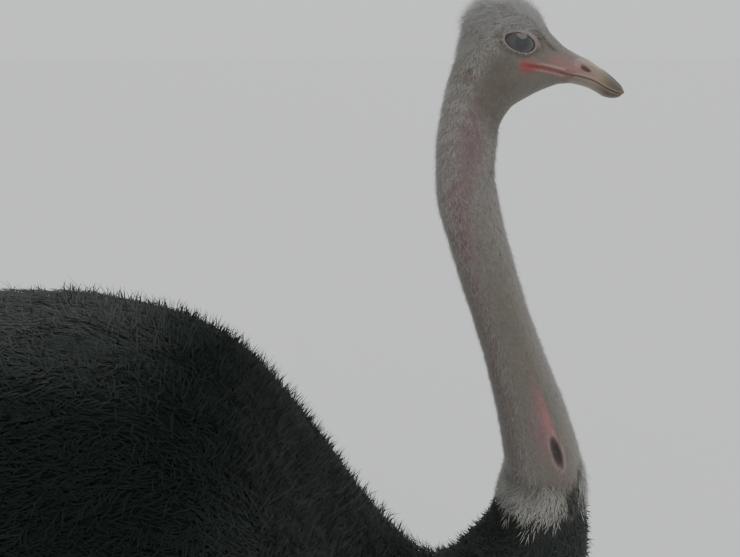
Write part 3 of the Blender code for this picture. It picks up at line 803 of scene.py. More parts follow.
def skinSurface(place, even):
    # The body's skin at a row number and a turn; turns are drawn towards the two sides of the head by 0.2 sin 2a
    turn = even + 0.20 * (1 - smoothStep(10, 14, place)) * np.sin(2 * even)
    shell = bodyShell(place, turn)
    normals = unit(np.cross(np.roll(shell, -1, 1) - np.roll(shell, 1, 1), np.gradient(shell, axis=0)))
    points = shell - normals * coatDepth(place, turn)[..., None]
    points, neck = neckMarks(points, normals, place, turn)
    points, head = sculptHead(points)
    onHead = 1 - smoothStep(*skinShape["headEnds"], place)
    marks = dict(neck, **{key: np.maximum(neck[key], value * onHead) for key, value in head.items()})
    marks["feathered"] = smoothStep(*skinShape["feathersBegin"], place)
    return points, marks


# The rows of skin over head and neck, closest around the eye and the mouth
headAndNeck = np.concatenate([
    np.linspace(3.55, 5.2, 32)[:-1], np.linspace(5.2, 8.0, 76)[:-1], np.linspace(8.0, 12.0, 60)[:-1],
    np.linspace(12.0, collarRow, 112),
])


def bodySkin():
    # Rings through the body, crowded round the eyes
    places = np.concatenate([headAndNeck[:-1], np.linspace(collarRow, tailRow, 70)])
    points, marks = skinSurface(*np.broadcast_arrays(places[:, None], allRound(skinShape["sides"])[None]))
    return tube("skin", points, marks)


legs = {
    "sides": 44,
    "toeGrid": (60, 48),
    "voxel": 0.0045, "smoothing": 4,  # of the remesh, and the rounds that smooth it
    "ahead": 0.065,  # the right foot stands this far ahead of the middle, and the left foot behind it
    "aside": 0.135,
    # x from the eye, share of the step ahead, share of the way aside, and z, of knee, ankle and ball of the foot
    "joints": [(-0.565, 0.30, 1.15, 0.990), (-0.785, 0.60, 1.0, 0.510), (-0.725, 1.0, 1.0, 0.052)],
    "belly": 0.70,  # below this height all skin is the legs'
    # length, width, height, heading in degrees, and the root's offsets outward and ahead
    "toes": {"large": (0.160, 0.066, 0.070, -3, -0.006, 0.004), "small": (0.104, 0.042, 0.046, 24, 0.030, 0.0)},
    "toeShape": [  # reach, as metres plus a share of the toe's length; shares of its width and of its height
        (-0.040, 0.0, 0.50, 0.55), (-0.020, 0.0, 0.86, 0.88), (0.012, 0.0, 1.00, 1.00), (0.0, 0.30, 0.98, 0.86),
        (0.0, 0.58, 0.80, 0.62), (0.0, 0.84, 0.74, 0.54), (0.0, 1.0, 0.56, 0.44),
    ],
    "claw": (0.062, 0.030, 0.026),  # length, width, height
}


def legPoints(side):
    ahead, aside = -side * legs["ahead"], side * legs["aside"]
    return [np.array([eyeX + x + ahead * step, aside * out, z]) for x, step, out, z in legs["joints"]]


def legRows(side):
    knee, ankle, ball = legPoints(side)
    mix = [
        (knee, (0, 0, 0), 0.105, 0.080),
        (knee * 0.72 + ankle * 0.28, (0, 0, 0), 0.098, 0.078),
        (knee * 0.44 + ankle * 0.56, (0, 0, 0), 0.068, 0.058),
        (knee * 0.18 + ankle * 0.82, (0, 0, 0), 0.038, 0.036),
        (ankle, (-0.004, 0, 0), 0.038, 0.035),
        (ankle * 0.85 + ball * 0.15, (0, 0, 0), 0.029, 0.025),
        (ankle * 0.50 + ball * 0.50, (0, 0, 0), 0.024, 0.020),
        (ankle * 0.18 + ball * 0.82, (0, 0, 0), 0.026, 0.024),
        (ball, (0, 0, 0.012), 0.033, 0.033),
        (ball, (0.006, 0, -0.016), 0.020, 0.022),
    ]
    return np.array([[*(point + np.array(move)), fore, across] for point, move, fore, across in mix])


def sweep(rows, places):
    # Path of a limb: centre, the way forward square to it, the level way across, and both radii
    path = curveRows(rows, places)
    direction = unit(np.gradient(path[:, :3], axis=0))
    forward = unit(np.cross(direction, [0, 1.0, 0]))
    level = unit(np.cross(forward, direction))
    return path[:, :3], forward, level, path[:, 3:]


def legTube(side):
    # centre + cos a * fore * forward + sin a * across * level, with the hock's heel, a tendon behind and a flat shin
    rows = legRows(side)
    places = np.linspace(0, len(rows) - 1, 120)
    centre, forward, level, radii = sweep(rows, places)
    turn = allRound(legs["sides"])
    c, s = np.cos(turn)[None], np.sin(turn)[None]
    row = places[:, None]
    heel = 0.22 * np.clip(-c, 0, 1) ** 3 * bell(row, 3.95, 0.40)
    knob = 0.10 * np.clip(c, 0, 1) ** 2 * bell(row, 4.15, 0.30)
    tendon = 0.20 * np.clip(-c, 0, 1) ** 6 * bell(row, 6.0, 1.2) + 0.10 * np.clip(-c, 0, 1) ** 8 * bell(row, 3.1, 0.5)
    sinew = -0.07 * bell(np.abs(np.arctan2(s, -c)), 0.75, 0.25) * bell(row, 6.0, 1.4)
    muscle = 0.05 * np.cos(2 * turn + 0.6)[None] * bell(row, 1.3, 0.9) - 0.05 * bell(row, 2.75, 0.35)
    swell = 1 + heel + knob + tendon + sinew + muscle
    fore, across = radii[:, :1] * swell, radii[:, 1:] * swell
    return centre[:, None] + (c * fore)[..., None] * forward[:, None] + (s * across)[..., None] * level[:, None]


def toeFrame(side, kind):
    length, width, height, heading, aside, ahead = legs["toes"][kind]
    ball = legPoints(side)[2]
    heading = math.radians(side * heading)
    forward = np.array([math.cos(heading), math.sin(heading), 0])
    across = np.array([-math.sin(heading), math.cos(heading), 0])
    root = np.array([ball[0] + ahead, ball[1] + side * aside, 0.0])
    return root, forward, across, length, width, height


def toeSurface(side, kind, share, turn):
    # A toe on its pads: reach, width and height by share along it; flat below, with a knuckle at each joint
    root, forward, across, length, width, height = toeFrame(side, kind)
    rows = np.array([(a + b * length, wide, high) for a, b, wide, high in legs["toeShape"]])
    row = curveRows(rows, share * (len(rows) - 1))
    joint = 0.5 + 0.5 * np.cos(2 * math.pi * (row[..., 0] / length) * 3.0 - 1.2)
    tall = height * row[..., 2] * (0.95 + 0.07 * joint)
    wide = width * row[..., 1] * (0.97 + 0.05 * joint)
    c, s = np.cos(turn), np.sin(turn)
    z = np.clip(0.45 * tall + 0.55 * tall * np.sign(c) * np.abs(c) ** 0.9, 0.0, None)
    aside = np.sign(s) * np.abs(s) ** 0.85 * wide / 2
    return root + row[..., :1] * forward + aside[..., None] * across + np.stack([0 * z, 0 * z, z], -1)


def clawMesh(side, name):
    # A blunt curved nail: half width = sqrt(1 - s^1.6), sinking as s^1.5, pale along its rim
    length, width, height = legs["claw"]
    root, forward, across, toeLength, _, _ = toeFrame(side, "large")
    root = root + (toeLength - 0.004) * forward + np.array([0, 0, 0.0150])
    s = 1 - np.cos(np.linspace(0, math.pi / 2, 40))[:, None]
    s = s / s.max()
    turn = allRound(40)[None]
    slim = np.sqrt(np.clip(1 - s**1.6, 0, 1)) * 0.92 + 0.08
    c, sine = np.cos(turn), np.sin(turn)
    ridge = 1 + 0.07 * np.clip(c, 0, 1) ** 8
    z = np.maximum(-0.45 * height * s**1.5 + c * height / 2 * slim * ridge, 0.0012 - root[2])
    points = root + (s * length)[..., None] * forward + (sine * width / 2 * slim)[..., None] * across
    points = points + np.stack([0 * z, 0 * z, z], -1)
    return tube("claw" + name, points, {"tip": s})


def remeshed(parts, name, voxel, rounds):
    # One skin over parts that pass through each other: a voxel remesh, smoothed
    whole = joinMeshes(name, parts)
    remesh = whole.modifiers.new("remesh", "REMESH")
    remesh.mode, remesh.voxel_size = "VOXEL", voxel
    soft = whole.modifiers.new("soften", "SMOOTH")
    soft.factor, soft.iterations = 0.5, rounds
    return applyModifiers(whole)


def readMark(obj, key):
    return readValues(obj.data.attributes[key].data, "value")


def writeMark(obj, key, values):
    found = obj.data.attributes.get(key) or obj.data.attributes.new(key, "FLOAT", "POINT")
    found.data.foreach_set("value", np.asarray(values, np.float32))


def legSkin(side, name):
    parts = [tube("leg" + name, legTube(side))]
    rows, columns = legs["toeGrid"]
    for kind in ("large", "small"):
        toe = toeSurface(side, kind, np.linspace(0, 1, rows)[:, None], allRound(columns)[None])
        parts.append(tube("toe" + kind + name, toe))
    leg = remeshed(parts, "limb" + name, legs["voxel"], legs["smoothing"])
    points = meshPoints(leg)
    fine = 0.0008 * waves(points, 0.030, 11) + 0.0004 * waves(points, 0.011, 12)
    points = points + readValues(leg.data.vertices, "normal", 3) * fine[:, None]
    points[:, 2] = np.maximum(points[:, 2], 0.0)
    leg.data.vertices.foreach_set("co", points.astype(np.float32).ravel())
    leg.data.update()
    return leg


wing = {
    "rows": [  # as the body's rows
        (-0.330, -0.760, -0.330, -0.800, 0.020, 0.0), (-0.365, -0.680, -0.355, -0.860, 0.080, 0.0),
        (-0.450, -0.595, -0.430, -0.900, 0.125, 0.0), (-0.570, -0.530, -0.550, -0.920, 0.150, 0.0),
        (-0.710, -0.500, -0.700, -0.925, 0.160, 0.0), (-0.850, -0.510, -0.850, -0.935, 0.156, 0.0),
        (-0.980, -0.550, -0.980, -0.955, 0.135, 0.0), (-1.080, -0.660, -1.080, -0.985, 0.105, 0.0),
        (-1.160, -0.790, -1.150, -1.005, 0.070, 0.0), (-1.205, -0.900, -1.190, -0.995, 0.030, 0.0),
    ],
    "out": [0.175, 0.175, 0.170, 0.165, 0.165, 0.165, 0.165, 0.165, 0.170, 0.180],  # each row's middle from the midline
    "square": 2.1,
    "coat": 0.036,  # depth of the feathers over the folded wing
    "aside": 0.165,  # the wing's middle from the midline
    "parted": 5.0,  # the row where black coverts give way to white plumes
}


def wingShell(side):
    def shell(place, turn):
        points = ringPoint(curveRows(wing["rows"], place), turn, wing["square"])
        points[..., 1] += side * curveRows(np.array(wing["out"])[:, None], place)[..., 0]
        return points
    return shell


def wingSkin(side, name):
    # The folded wing under its coverts, in from the outline by the coat's depth
    shell = wingShell(side)(np.linspace(1.0, 5.7, 30)[:, None], allRound(40)[None])
    middle = shell.mean(1, keepdims=True)
    away = shell - middle
    far = np.linalg.norm(away, axis=-1, keepdims=True)
    points = middle + away * np.clip(1 - wing["coat"] / far, 0.15, 1)
    return tube("wingSkin" + name, points)


def unite(base, parts):
    # Joins closed meshes where they cross, so one skin runs over them all
    for part in parts:
        join = base.modifiers.new("unite", "BOOLEAN")
        join.operation, join.solver, join.object = "UNION", "EXACT", part
    applyModifiers(base)
    for part in parts:
        bpy.data.objects.remove(part, do_unlink=True)
    return base


def markLimbs(obj):
    # A point is on a leg below the belly, or above it no further from the leg's middle line than its radius
    points = meshPoints(obj)
    high = points[:, 2] >= legs["belly"]
    limb = 1.0 - high
    for side in (-1, 1):
        centre, _, _, radii = sweep(legRows(side), np.linspace(0, 4, 50))
        away = np.linalg.norm(points[high][:, None] - centre[None], axis=-1) - radii.max(1)[None]
        limb[high] = np.maximum(limb[high], 1 - smoothStep(0.002, 0.012, away.min(1)))
    feathered = np.where(points[:, 0] < eyeX - 0.25, 1.0, readMark(obj, "feathered"))
    ankle = legPoints(1)[1]
    writeMark(obj, "limb", limb)
    writeMark(obj, "feathered", feathered * (1 - limb))
    for key in ("mauve", "flush", "rim"):
        writeMark(obj, key, readMark(obj, key) * (limb < 0.01))
    for key, onLimb in (("pink", 0.35 * bell(points[:, 2], ankle[2], 0.16)), ("dark", 0.25 * (points[:, 2] < 0.012))):
        writeMark(obj, key, np.where(limb > 0, onLimb, readMark(obj, key)))
    # painted sky light on the skin under the feathers, as on the feathers
    writeMark(obj, "skyLitHaze", skyLitShare(points, readValues(obj.data.vertices, "normal", 3)))


print("skin")
skin = bodySkin()
limbs = [shape(side, name) for shape in (legSkin, wingSkin) for side, name in bothSides]
skin = unite(skin, limbs)
markLimbs(skin)
skin.data.materials.clear()
for look in (skinMaterial(), darkSkinMaterial()):
    skin.data.materials.append(look)
corners = readValues(skin.data.loops, "vertex_index", kind=np.int32)
starts = readValues(skin.data.polygons, "loop_start", kind=np.int32)
least = np.minimum.reduceat(readMark(skin, "feathered")[corners], starts)
skin.data.polygons.foreach_set("material_index", (least > 0.98).astype(np.int32))
skin.data.polygons.foreach_set("use_smooth", np.ones(len(starts), bool))
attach(skin, "root")
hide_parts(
    "head", "ear_right", "ear_left", "neck_upper", "neck_middle", "neck_lower", "neck_base", "breast", "trunk",
    "tail", "wing_right", "wing_left", "wing_plumes_right", "wing_plumes_left", "thigh_right", "thigh_left",
    "shank_right", "shank_left", "toe_large_right", "toe_large_left", "toe_small_right", "toe_small_left",
)


bill = {
    "gape": (0.62, 0.72),  # share of the height below the top, at the tip and at the base
    "square": 2.1,
    "nostril": (0.0810, -0.0330),  # from the eye, in the head's own x and z
    "nostrilSize": (0.0100, 0.0036),
    "nostrilTilt": math.radians(27),
    "deep": 0.0034,
    "gap": 0.0004,  # from the gape's middle to either half
    "nail": 0.0330,  # length of the nail at the tip
}


def billMesh(upper):
    # Rings of the head's outline kept above or below the gape; tip closed, base run 3 mm into the skin
    places = (billRow + 0.22) * np.linspace(0, 1, 110) ** 1.25
    turn = allRound(120)
    row = curveRows(bodyRows, places)[:, None]
    gapeShare = np.interp(places, [0, billRow], bill["gape"])[:, None]
    across, height = superellipse(turn[None], bill["square"])
    across = across * (1 + row[..., 5] * height)
    cut = 1 - 2 * gapeShare + 0.08 * (1 - np.clip(across, -1, 1) ** 2)  # the gape, bowed up in the middle
    span = np.linalg.norm(row[..., 0:2] - row[..., 2:4], axis=-1)
    gap = bill["gap"] / np.maximum(span, 0.004)
    height = np.maximum(height, cut + gap) if upper else np.minimum(height, cut - gap)
    local = rowPoint(row, across, height)
    x, z = local[..., 0], local[..., 2]
    share = places[:, None] / billRow
    above, _ = lineDistance(x, z, gape["line"])
    pivot = rowPoint(row, 0 * across, cut)
    local = pivot + (local - pivot) * (1 - 0.30 * smoothStep(billRow - 0.04, billRow + 0.10, places))[:, None, None]
    inMouth = smoothStep(billRow + 0.005, billRow + 0.03, places)[:, None]
    flatTop = np.abs(height - cut) < gap * 1.5
    outer = 1 - flatTop
    off = np.abs(local[..., 1])  # from the bill's middle line
    marks = {"skin": smoothStep(0.72, 0.985, share)}
    nx, nz = x - bill["nostril"][0], z - bill["nostril"][1]
    slotAlong, slotUp = inOval(nx, nz, bill["nostrilTilt"], bill["nostrilSize"])
    slot = np.hypot(slotAlong, slotUp * (1 + 0.45 * np.clip(slotAlong, -0.8, 1)))
    fromTip = body["head"][0][0] - x
    if upper:
        nail = 1 - smoothStep(bill["nail"] - 0.003, bill["nail"] + 0.003, fromTip + 6 * local[..., 1] ** 2 / 0.02)
        lift = 0.0011 * smoothStep(0, 0.006, fromTip) * nail * outer
        lift = lift + 0.0010 * bell(off, 0, 0.0075) * smoothStep(0.02, 0.05, fromTip)
        lift = lift - 0.0010 * bell(off, 0.0125, 0.004) * smoothStep(0.03, 0.06, fromTip) * outer
        lift = lift - 0.0007 * bell(slot, 1.7, 0.7) * outer
        lift = lift - bill["deep"] * (1 - smoothStep(0.35, 1.0, slot)) * outer
        lift = lift + 0.0006 * bell(height, cut + 0.10, 0.10) * outer
        # painted shade in the nostril's slot and on the bill inside the mouth
        marks["dark"] = np.maximum((1 - smoothStep(0.45, 1.05, slot)) * outer, inMouth)
        # the bill's pale ridge, with a painted highlight along it
        marks["creamAndHighlight"] = bell(off, 0, 0.0105) * smoothStep(0.014, 0.045, fromTip)
        around = bell(slot, 1.2, 0.6) * 0.35
        marks["flesh"] = np.maximum(around, 0.85 * smoothStep(0.60, 0.98, share) * bell(above, 0.0080, 0.0105))
    else:
        nail = 1 - smoothStep(bill["nail"] * 0.8 - 0.003, bill["nail"] * 0.8 + 0.003, fromTip)
        lift = 0.0006 * smoothStep(0, 0.006, fromTip) * nail * outer - 0.0003 * outer
        # painted shade on the bill inside the mouth
        marks["dark"] = inMouth
        marks["creamAndHighlight"] = 0.5 * smoothStep(0.4, 0.9, share) * bell(height, cut - 0.2, 0.35)
        marks["flesh"] = 0.85 * smoothStep(0.70, 1.0, share) * bell(above, 0.0080, 0.0105)
    marks["tip"] = 0.85 * (1 - smoothStep(0.016, 0.044, fromTip))
    marks["edge"] = bell(height, cut + (0.06 if upper else -0.06), 0.16) * outer
    marks["under"] = 0.0 if upper else 1.0
    points = local + fromEye
    normals = unit(np.cross(np.roll(points, -1, 1) - np.roll(points, 1, 1), np.gradient(points, axis=0)))
    points = points + normals * (lift * smoothStep(0, 0.15, places[:, None]))[..., None]
    return tube("billUpper" if upper else "billLower", points, marks)


def billMaterial():
    material, tree = newMaterial("bill horn")
    mottle, fineHeight = speckled(tree, 120.0, 1.8)
    broad, _ = speckled(tree, 35.0, 2.0)
    horn = mixColour(tree, mark(tree, "under"), (0.212, 0.165, 0.114), (0.126, 0.096, 0.066))
    bare = mixColour(tree, mottle, skinColours["grey"], skinColours["pale"])
    nail = mixColour(tree, broad, (0.038, 0.031, 0.020), (0.066, 0.053, 0.036))
    colour = laidOver(tree, horn, [
        # the pale ridge and the painted highlight along the top of the bill
        (broad, (0.182, 0.140, 0.094)), ("creamAndHighlight", (0.370, 0.302, 0.226)), ("skin", bare),
        ("flesh", skinColours["pink"]), ("tip", nail), (times(tree, mark(tree, "edge"), 0.45), (0.270, 0.205, 0.160)),
        # the dark mark: painted shade in the nostril and inside the mouth
        ("dark", (0.070, 0.030, 0.026)),
    ])
    height = calculate(tree, "MULTIPLY_ADD", fineHeight, 0.6, growth(tree, (60.0, 420.0, 420.0), 3.0))
    return surface(material, {"Base Color": colour, "Roughness": 0.42}, height, 0.35, 0.0006)


eyes = {
    "cornea": 0.0016, "corneaWidth": 0.0125,  # how far the clear front stands out of the ball, and over what width
    "pupil": 0.0088,
    "iris": 0.0155,
    "forward": 0.0012,  # the pupil's middle from the ball's
}


def eyeMesh(side, name):
    # The eyeball: cos and sin rings about the axis through the pupil, with a bulged front
    out, turn = np.linspace(0, math.pi, 90)[:, None], allRound(96)[None]
    a, b, c = lids["ball"]
    front = np.cos(out) + 0 * turn
    x, z = a * (np.sin(out) * np.cos(turn)), c * (np.sin(out) * np.sin(turn))
    bulge = eyes["cornea"] * np.exp(-((np.hypot(x, z) / eyes["corneaWidth"]) ** 2)) * (front > 0)
    points = np.stack([x, b * front + bulge, z], -1) + eyeAt
    seen = np.where(front > 0, np.hypot(x - eyes["forward"], z), 0.03)
    made = tube("eye" + name, points * (1, side, 1) + fromEye, {"seen": seen})
    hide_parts("eye_" + name.lower())
    return made


def eyeMaterial():
    # Pupil, finely grained iris, and the dark rim of the ball, by distance from the pupil's middle
    material, tree = newMaterial("eye")
    seen, pupil, iris = mark(tree, "seen"), eyes["pupil"], eyes["iris"]
    place = addNode(tree, "ShaderNodeTexCoord").outputs["Object"]
    fine = addNode(tree, "ShaderNodeTexNoise", {"Vector": place, "Scale": 900.0, "Detail": 2.0}).outputs[0]
    ring = mixColour(tree, fine, (0.020, 0.016, 0.012), (0.040, 0.032, 0.024))
    colour = mixColour(tree, ramp(tree, seen, pupil - 0.0006, pupil + 0.0006), (0.004, 0.006, 0.006), ring)
    colour = mixColour(tree, ramp(tree, seen, iris - 0.002, iris), colour, (0.010, 0.008, 0.008))
    return surface(material, {
        "Base Color": colour, "Roughness": 0.10, "Specular IOR Level": 0.60, "Coat Weight": 0.70,
        "Coat Roughness": 0.02, "Coat Tint": (0.90, 0.97, 1.0),
    })


print("bill and eyes")
horn = billMaterial()
for upper, node in ((True, "bill_upper"), (False, "bill_lower")):
    half = billMesh(upper)
    half.data.materials.append(horn)
    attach(half, "root")
    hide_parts(node)
eyeLook = eyeMaterial()
for side, name in bothSides:
    ball = eyeMesh(side, name)
    ball.data.materials.append(eyeLook)
    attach(ball, "root")


def clawMaterial():
    material, tree = newMaterial("claw horn")
    mottle, height = speckled(tree, 150.0, 1.6)
    colour = mixColour(tree, mottle, (0.055, 0.042, 0.034), (0.130, 0.098, 0.075))
    colour = mixColour(tree, ramp(tree, mark(tree, "tip"), 0.55, 1.0), colour, (0.250, 0.205, 0.160))
    return surface(material, {"Base Color": colour, "Roughness": 0.45}, height, 0.4, 0.0006)


def domeLift(u, v, base, slope, edge, dome):
    # A plate's height over the skin: highest at its lower end, low at its sides, with a low dome between
    return base + slope * v - edge * np.abs(u) ** 3 + dome * (1 - (2 * v - 1) ** 2) * (1 - u**2)


def scutes(side):
    # Broad plates down the front of the shank, overlapping the one below
    pieces = []
    places, fine = np.linspace(4.35, 8.25, 37), np.linspace(4.3, 8.6, 400)
    centre, forward, level, radii = sweep(legRows(side), fine)
    reads = np.interp(places, fine, np.arange(len(fine)))
    u, v = np.linspace(-1, 1, 13)[None, :], np.linspace(0, 1, 5)[:, None]
    for k, at in enumerate(reads[:-1]):
        nextAt = reads[k + 1] + (reads[k + 1] - at) * 0.18
        i = np.rint(at + (nextAt - at) * v[:, 0]).astype(int)
        wide = 1.28 + 0.08 * math.sin(k * 2.1)
        turn = u * wide * (1 - 0.16 * (2 * v - 1) ** 4)
        lift = domeLift(u, v, 0.0012, 0.0010, 0.0016, 0.0008)
        fore = (np.cos(turn) * (radii[i, :1] + lift))[..., None] * forward[i][:, None]
        across = (np.sin(turn) * (radii[i, 1:] + lift))[..., None] * level[i][:, None]
        pieces.append(centre[i][:, None] + fore + across)
    return pieces


def plateMesh(name, tops, inner):
    # Closed plates: each top grid, and a copy of it sunk by inner along its own mean normal
    points, faces, marks = [], [], []
    start = 0
    for top in tops:
        rows, columns = top.shape[:2]
        down, across = top[-1, columns // 2] - top[0, columns // 2], top[rows // 2, -1] - top[rows // 2, 0]
        normal, middle = unit(np.cross(down, across)), top.mean((0, 1))
        normal = normal * (1 if dot(normal, top[rows // 2, columns // 2] - middle) >= 0 else -1)
        under = middle + (top - middle) * 0.96 - normal * inner
        both = np.concatenate([top.reshape(-1, 3), under.reshape(-1, 3)])
        count = rows * columns
        quads = gridFaces(rows, columns, closed=False)
        edge = np.concatenate([
            np.arange(columns), np.arange(1, rows) * columns + columns - 1,
            (rows - 1) * columns + np.arange(columns - 2, -1, -1), np.arange(rows - 2, 0, -1) * columns,
        ])
        following = np.roll(edge, -1)
        wall = np.stack([following, edge, edge + count, following + count], -1)
        faces += [block + start for block in facesOut(both, [quads, quads[:, ::-1] + count, wall])]
        points.append(both)
        start += 2 * count
        marks.append(np.full(2 * count, (len(marks) * 0.618) % 1))
    return buildMesh(name, np.concatenate(points), [np.concatenate(faces)], marks={"shade": np.concatenate(marks)})


def toeScutes(side, kind, count):
    # Plates across the top of a toe
    tops = []
    u, v = np.linspace(-1, 1, 11)[None, :], np.linspace(0, 1, 5)[:, None]
    turn = u * 0.95 * (1 - 0.14 * (2 * v - 1) ** 4)
    lift = domeLift(u, v, 0.0010, 0.0008, 0.0013, 0.0006)
    for k in range(count):
        share = 0.36 + (k + v * 1.15) / count * 0.60
        top = toeSurface(side, kind, np.clip(share, 0, 1) + 0 * turn, turn)
        tops.append(top + np.stack([0 * lift, 0 * lift, lift], -1))
    return tops


def scuteMaterial():
    material, tree = newMaterial("scutes")
    broad, height = speckled(tree, 40.0, 2.0)
    colour = mixColour(tree, mark(tree, "shade"), (0.345, 0.250, 0.200), (0.410, 0.310, 0.250))
    colour = mixColour(tree, times(tree, broad, 0.5), colour, (0.240, 0.170, 0.135))
    return surface(material, {"Base Color": colour, "Roughness": 0.5}, height, 0.5, 0.0008)


print("claws and scutes")
clawLook, scuteLook = clawMaterial(), scuteMaterial()
for side, name in bothSides:
    claw = clawMesh(side, name)
    claw.data.materials.append(clawLook)
    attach(claw, "root")
    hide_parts("claw_" + name.lower())
    tops = scutes(side) + toeScutes(side, "large", 13) + toeScutes(side, "small", 8)
    plates = plateMesh("scutes" + name, tops, 0.0035)
    plates.data.materials.append(scuteLook)
    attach(plates, "root")


def unwrapped(field, place, turn):
    # A root's place on the unwrap: turn across, share of the length along the piece upwards
    low, high = field["places"][0], field["places"][-1]
    across, up = turn / (2 * math.pi) % 1, np.clip((place - low) / (high - low), 0, 1)
    return coatUv["margin"] + (1 - 2 * coatUv["margin"]) * np.stack([across, up], -1)


def lie(jitter, droop, swirl, seed, size=0.16):
    # Heading towards the tail, pulled down by droop, and turned by a jitter and by slow waves over the surface
    def flow(point, normal, along):
        heading = unit(along) + np.array([0, 0, -1.0]) * droop
        heading = unit(heading - normal * dot(heading, normal)[..., None])
        angle = jitter + swirl * waves(point, size, seed)
        return heading * np.cos(angle)[..., None] + np.cross(normal, heading) * np.sin(angle)[..., None]
    return flow


def layCoat(name, field, settings, weight, depth, parts=1):
    # Feathers rooted on the skin under an outline: each shaft rises to the outline by two fifths of its length
    seed, steps = settings["seed"], settings["steps"]
    rng = np.random.default_rng(seed)
    place, turn = spreadRoots(field, settings["count"], weight)
    count = len(place)
    jitter = rng.normal(0, settings["jitter"], count)
    length = rng.uniform(*settings["length"], count)
    if "grow" in settings:
        length = length * settings["grow"](place)
    path = layPaths(field, place, turn, length, steps, lie(jitter, settings["droop"], settings["swirl"], seed))
    q = np.linspace(0, 1, steps)[None]
    deep = depth(place, turn)[:, None]
    high = rng.uniform(*settings["layer"], count)[:, None]
    size = length / np.mean(settings["length"])
    proud = settings["proud"] * (size * rng.random(count))[:, None]
    lift = -deep + deep * (1 + high) * smoothStep(0, 0.45, q) + proud * q**2
    uv = unwrapped(field, place, turn)
    made = []
    for k, chosen in enumerate(np.array_split(np.argsort(place, kind="stable"), parts)):
        look = dict(settings["plume"], seed=seed + 50 + k, scale=np.clip(size[chosen], 0.5, 1.5))
        label = name + (str(k + 1) if parts > 1 else "")
        sub = tuple(p[chosen] for p in path)
        feathers = [plumes(label, sub, lift[chosen], uv[chosen], look)]
        if "wisps" in settings:
            feathers.append(wisps(label + "Wisps", sub, lift[chosen], uv[chosen], settings["wisps"], k, place[chosen]))
        made.append(joinMeshes(label, feathers))
    return made


def wisps(name, path, lift, uv, settings, seed, place):
    # Loose barbs that leave the coat between up and ahead, and curl over by their hook
    rng = np.random.default_rng(900 + seed)
    each = settings["each"]
    kept = rng.random(len(place) * each) < np.repeat(settings["share"](place), each)
    point, normal, heading, raised, uv, place = (np.repeat(p, each, 0)[kept] for p in (*path, lift, uv, place))
    count = len(point)
    share = rng.uniform(*settings["from"], (count, 1))
    root = atShares(point, share)[:, 0] + atShares(normal, share)[:, 0] * (atShares(raised, share) - 0.003)
    up, ahead = atShares(normal, share)[:, 0], atShares(heading, share)[:, 0]
    side = np.cross(ahead, up) * rng.choice([-1.0, 1.0], count)[:, None]
    upward = rng.uniform(*settings["up"], count)[:, None]
    start = unit(up * upward + ahead * 0.9 + side * rng.uniform(0.1, 0.8, count)[:, None])
    hook = (settings["hook"](place) * rng.uniform(0.5, 1.3, count))[:, None]
    bend = -up * hook * 0.55 + side * rng.normal(0.25, 0.3, count)[:, None] - ahead * 0.25 * hook
    length = (rng.uniform(*settings["length"], count) * settings["grow"](place))[:, None, None]
    # painted sky light on each wisp, by where it roots and how it faces
    marks = {"shade": rng.random((count, 1)), "skyLitHaze": skyLitShare(root, up)[:, None]}
    return curledBlades(name, root, start, bend, length, up, settings, 0.6, uv, (0.5, 0.3, 0.6, 0.4), marks)


def down(name, field, settings, weight):
    # Short filaments in tufts on the skin, that start between the way the down lies and up
    rng = np.random.default_rng(settings["seed"])
    place, turn = spreadRoots(field, settings["tufts"], weight)
    tufts, each = len(place), settings["each"]
    uv = np.repeat(unwrapped(field, place, turn), each, 0)
    place = np.repeat(place, each) + rng.normal(0, settings["scatter"][0], tufts * each)
    turn = np.repeat(turn, each) + rng.normal(0, settings["scatter"][1], tufts * each)
    place = np.clip(place, field["places"][0], field["places"][-1])
    point, normal, along, _ = readField(field, place, turn)
    keep = weight(place, turn, point) > 0.5 * rng.random(len(place))
    point, normal, along, place, turn, uv = (v[keep] for v in (point, normal, along, place, turn, uv))
    count = len(point)
    flow = lie(rng.normal(0, settings["jitter"], count), settings["droop"], 0.35, settings["seed"], 0.05)
    heading = flow(point, normal, along)
    upward = rng.uniform(*settings["up"], count)[:, None]
    length = rng.uniform(*settings["length"], count)[:, None]
    if "grow" in settings:
        longer, higher = settings["grow"](point)
        length, upward = length * longer[:, None], upward + higher[:, None]
    start = unit(heading + normal * upward)
    bend = (heading * 0.45 - normal * 0.35) * rng.uniform(0.2, 1.1, count)[:, None] + rng.normal(0, 0.12, (count, 3))
    local = (rng.random((count, 1)), 0.0, 0.0, 1.0)
    marks = {"shade": rng.random((count, 1))}
    marks.update({key: values[:, None] for key, values in downMarks(place, turn).items()})
    return curledBlades(
        name, point - normal * 0.0007, start, bend, length[:, None], normal, settings, 0.55, uv, local, marks)


feather = {
    "black": {"root": (0.0070, 0.0114, 0.0092), "tip": (0.0092, 0.0152, 0.0122), "sheen": (0.0120, 0.0195, 0.0158),
              # pale tone of the painted sky light on the black feathers
              "skyLitHaze": (0.1200, 0.1285, 0.1190)},
    "white": {"root": (0.250, 0.220, 0.185), "tip": (0.560, 0.520, 0.455), "sheen": (0.660, 0.630, 0.570)},
    "cinnamon": {"root": (0.160, 0.115, 0.080), "tip": (0.400, 0.330, 0.255), "sheen": (0.600, 0.555, 0.480)},
    "collar": {"root": (0.136, 0.131, 0.110), "tip": (0.340, 0.332, 0.294), "sheen": (0.560, 0.550, 0.510)},
}


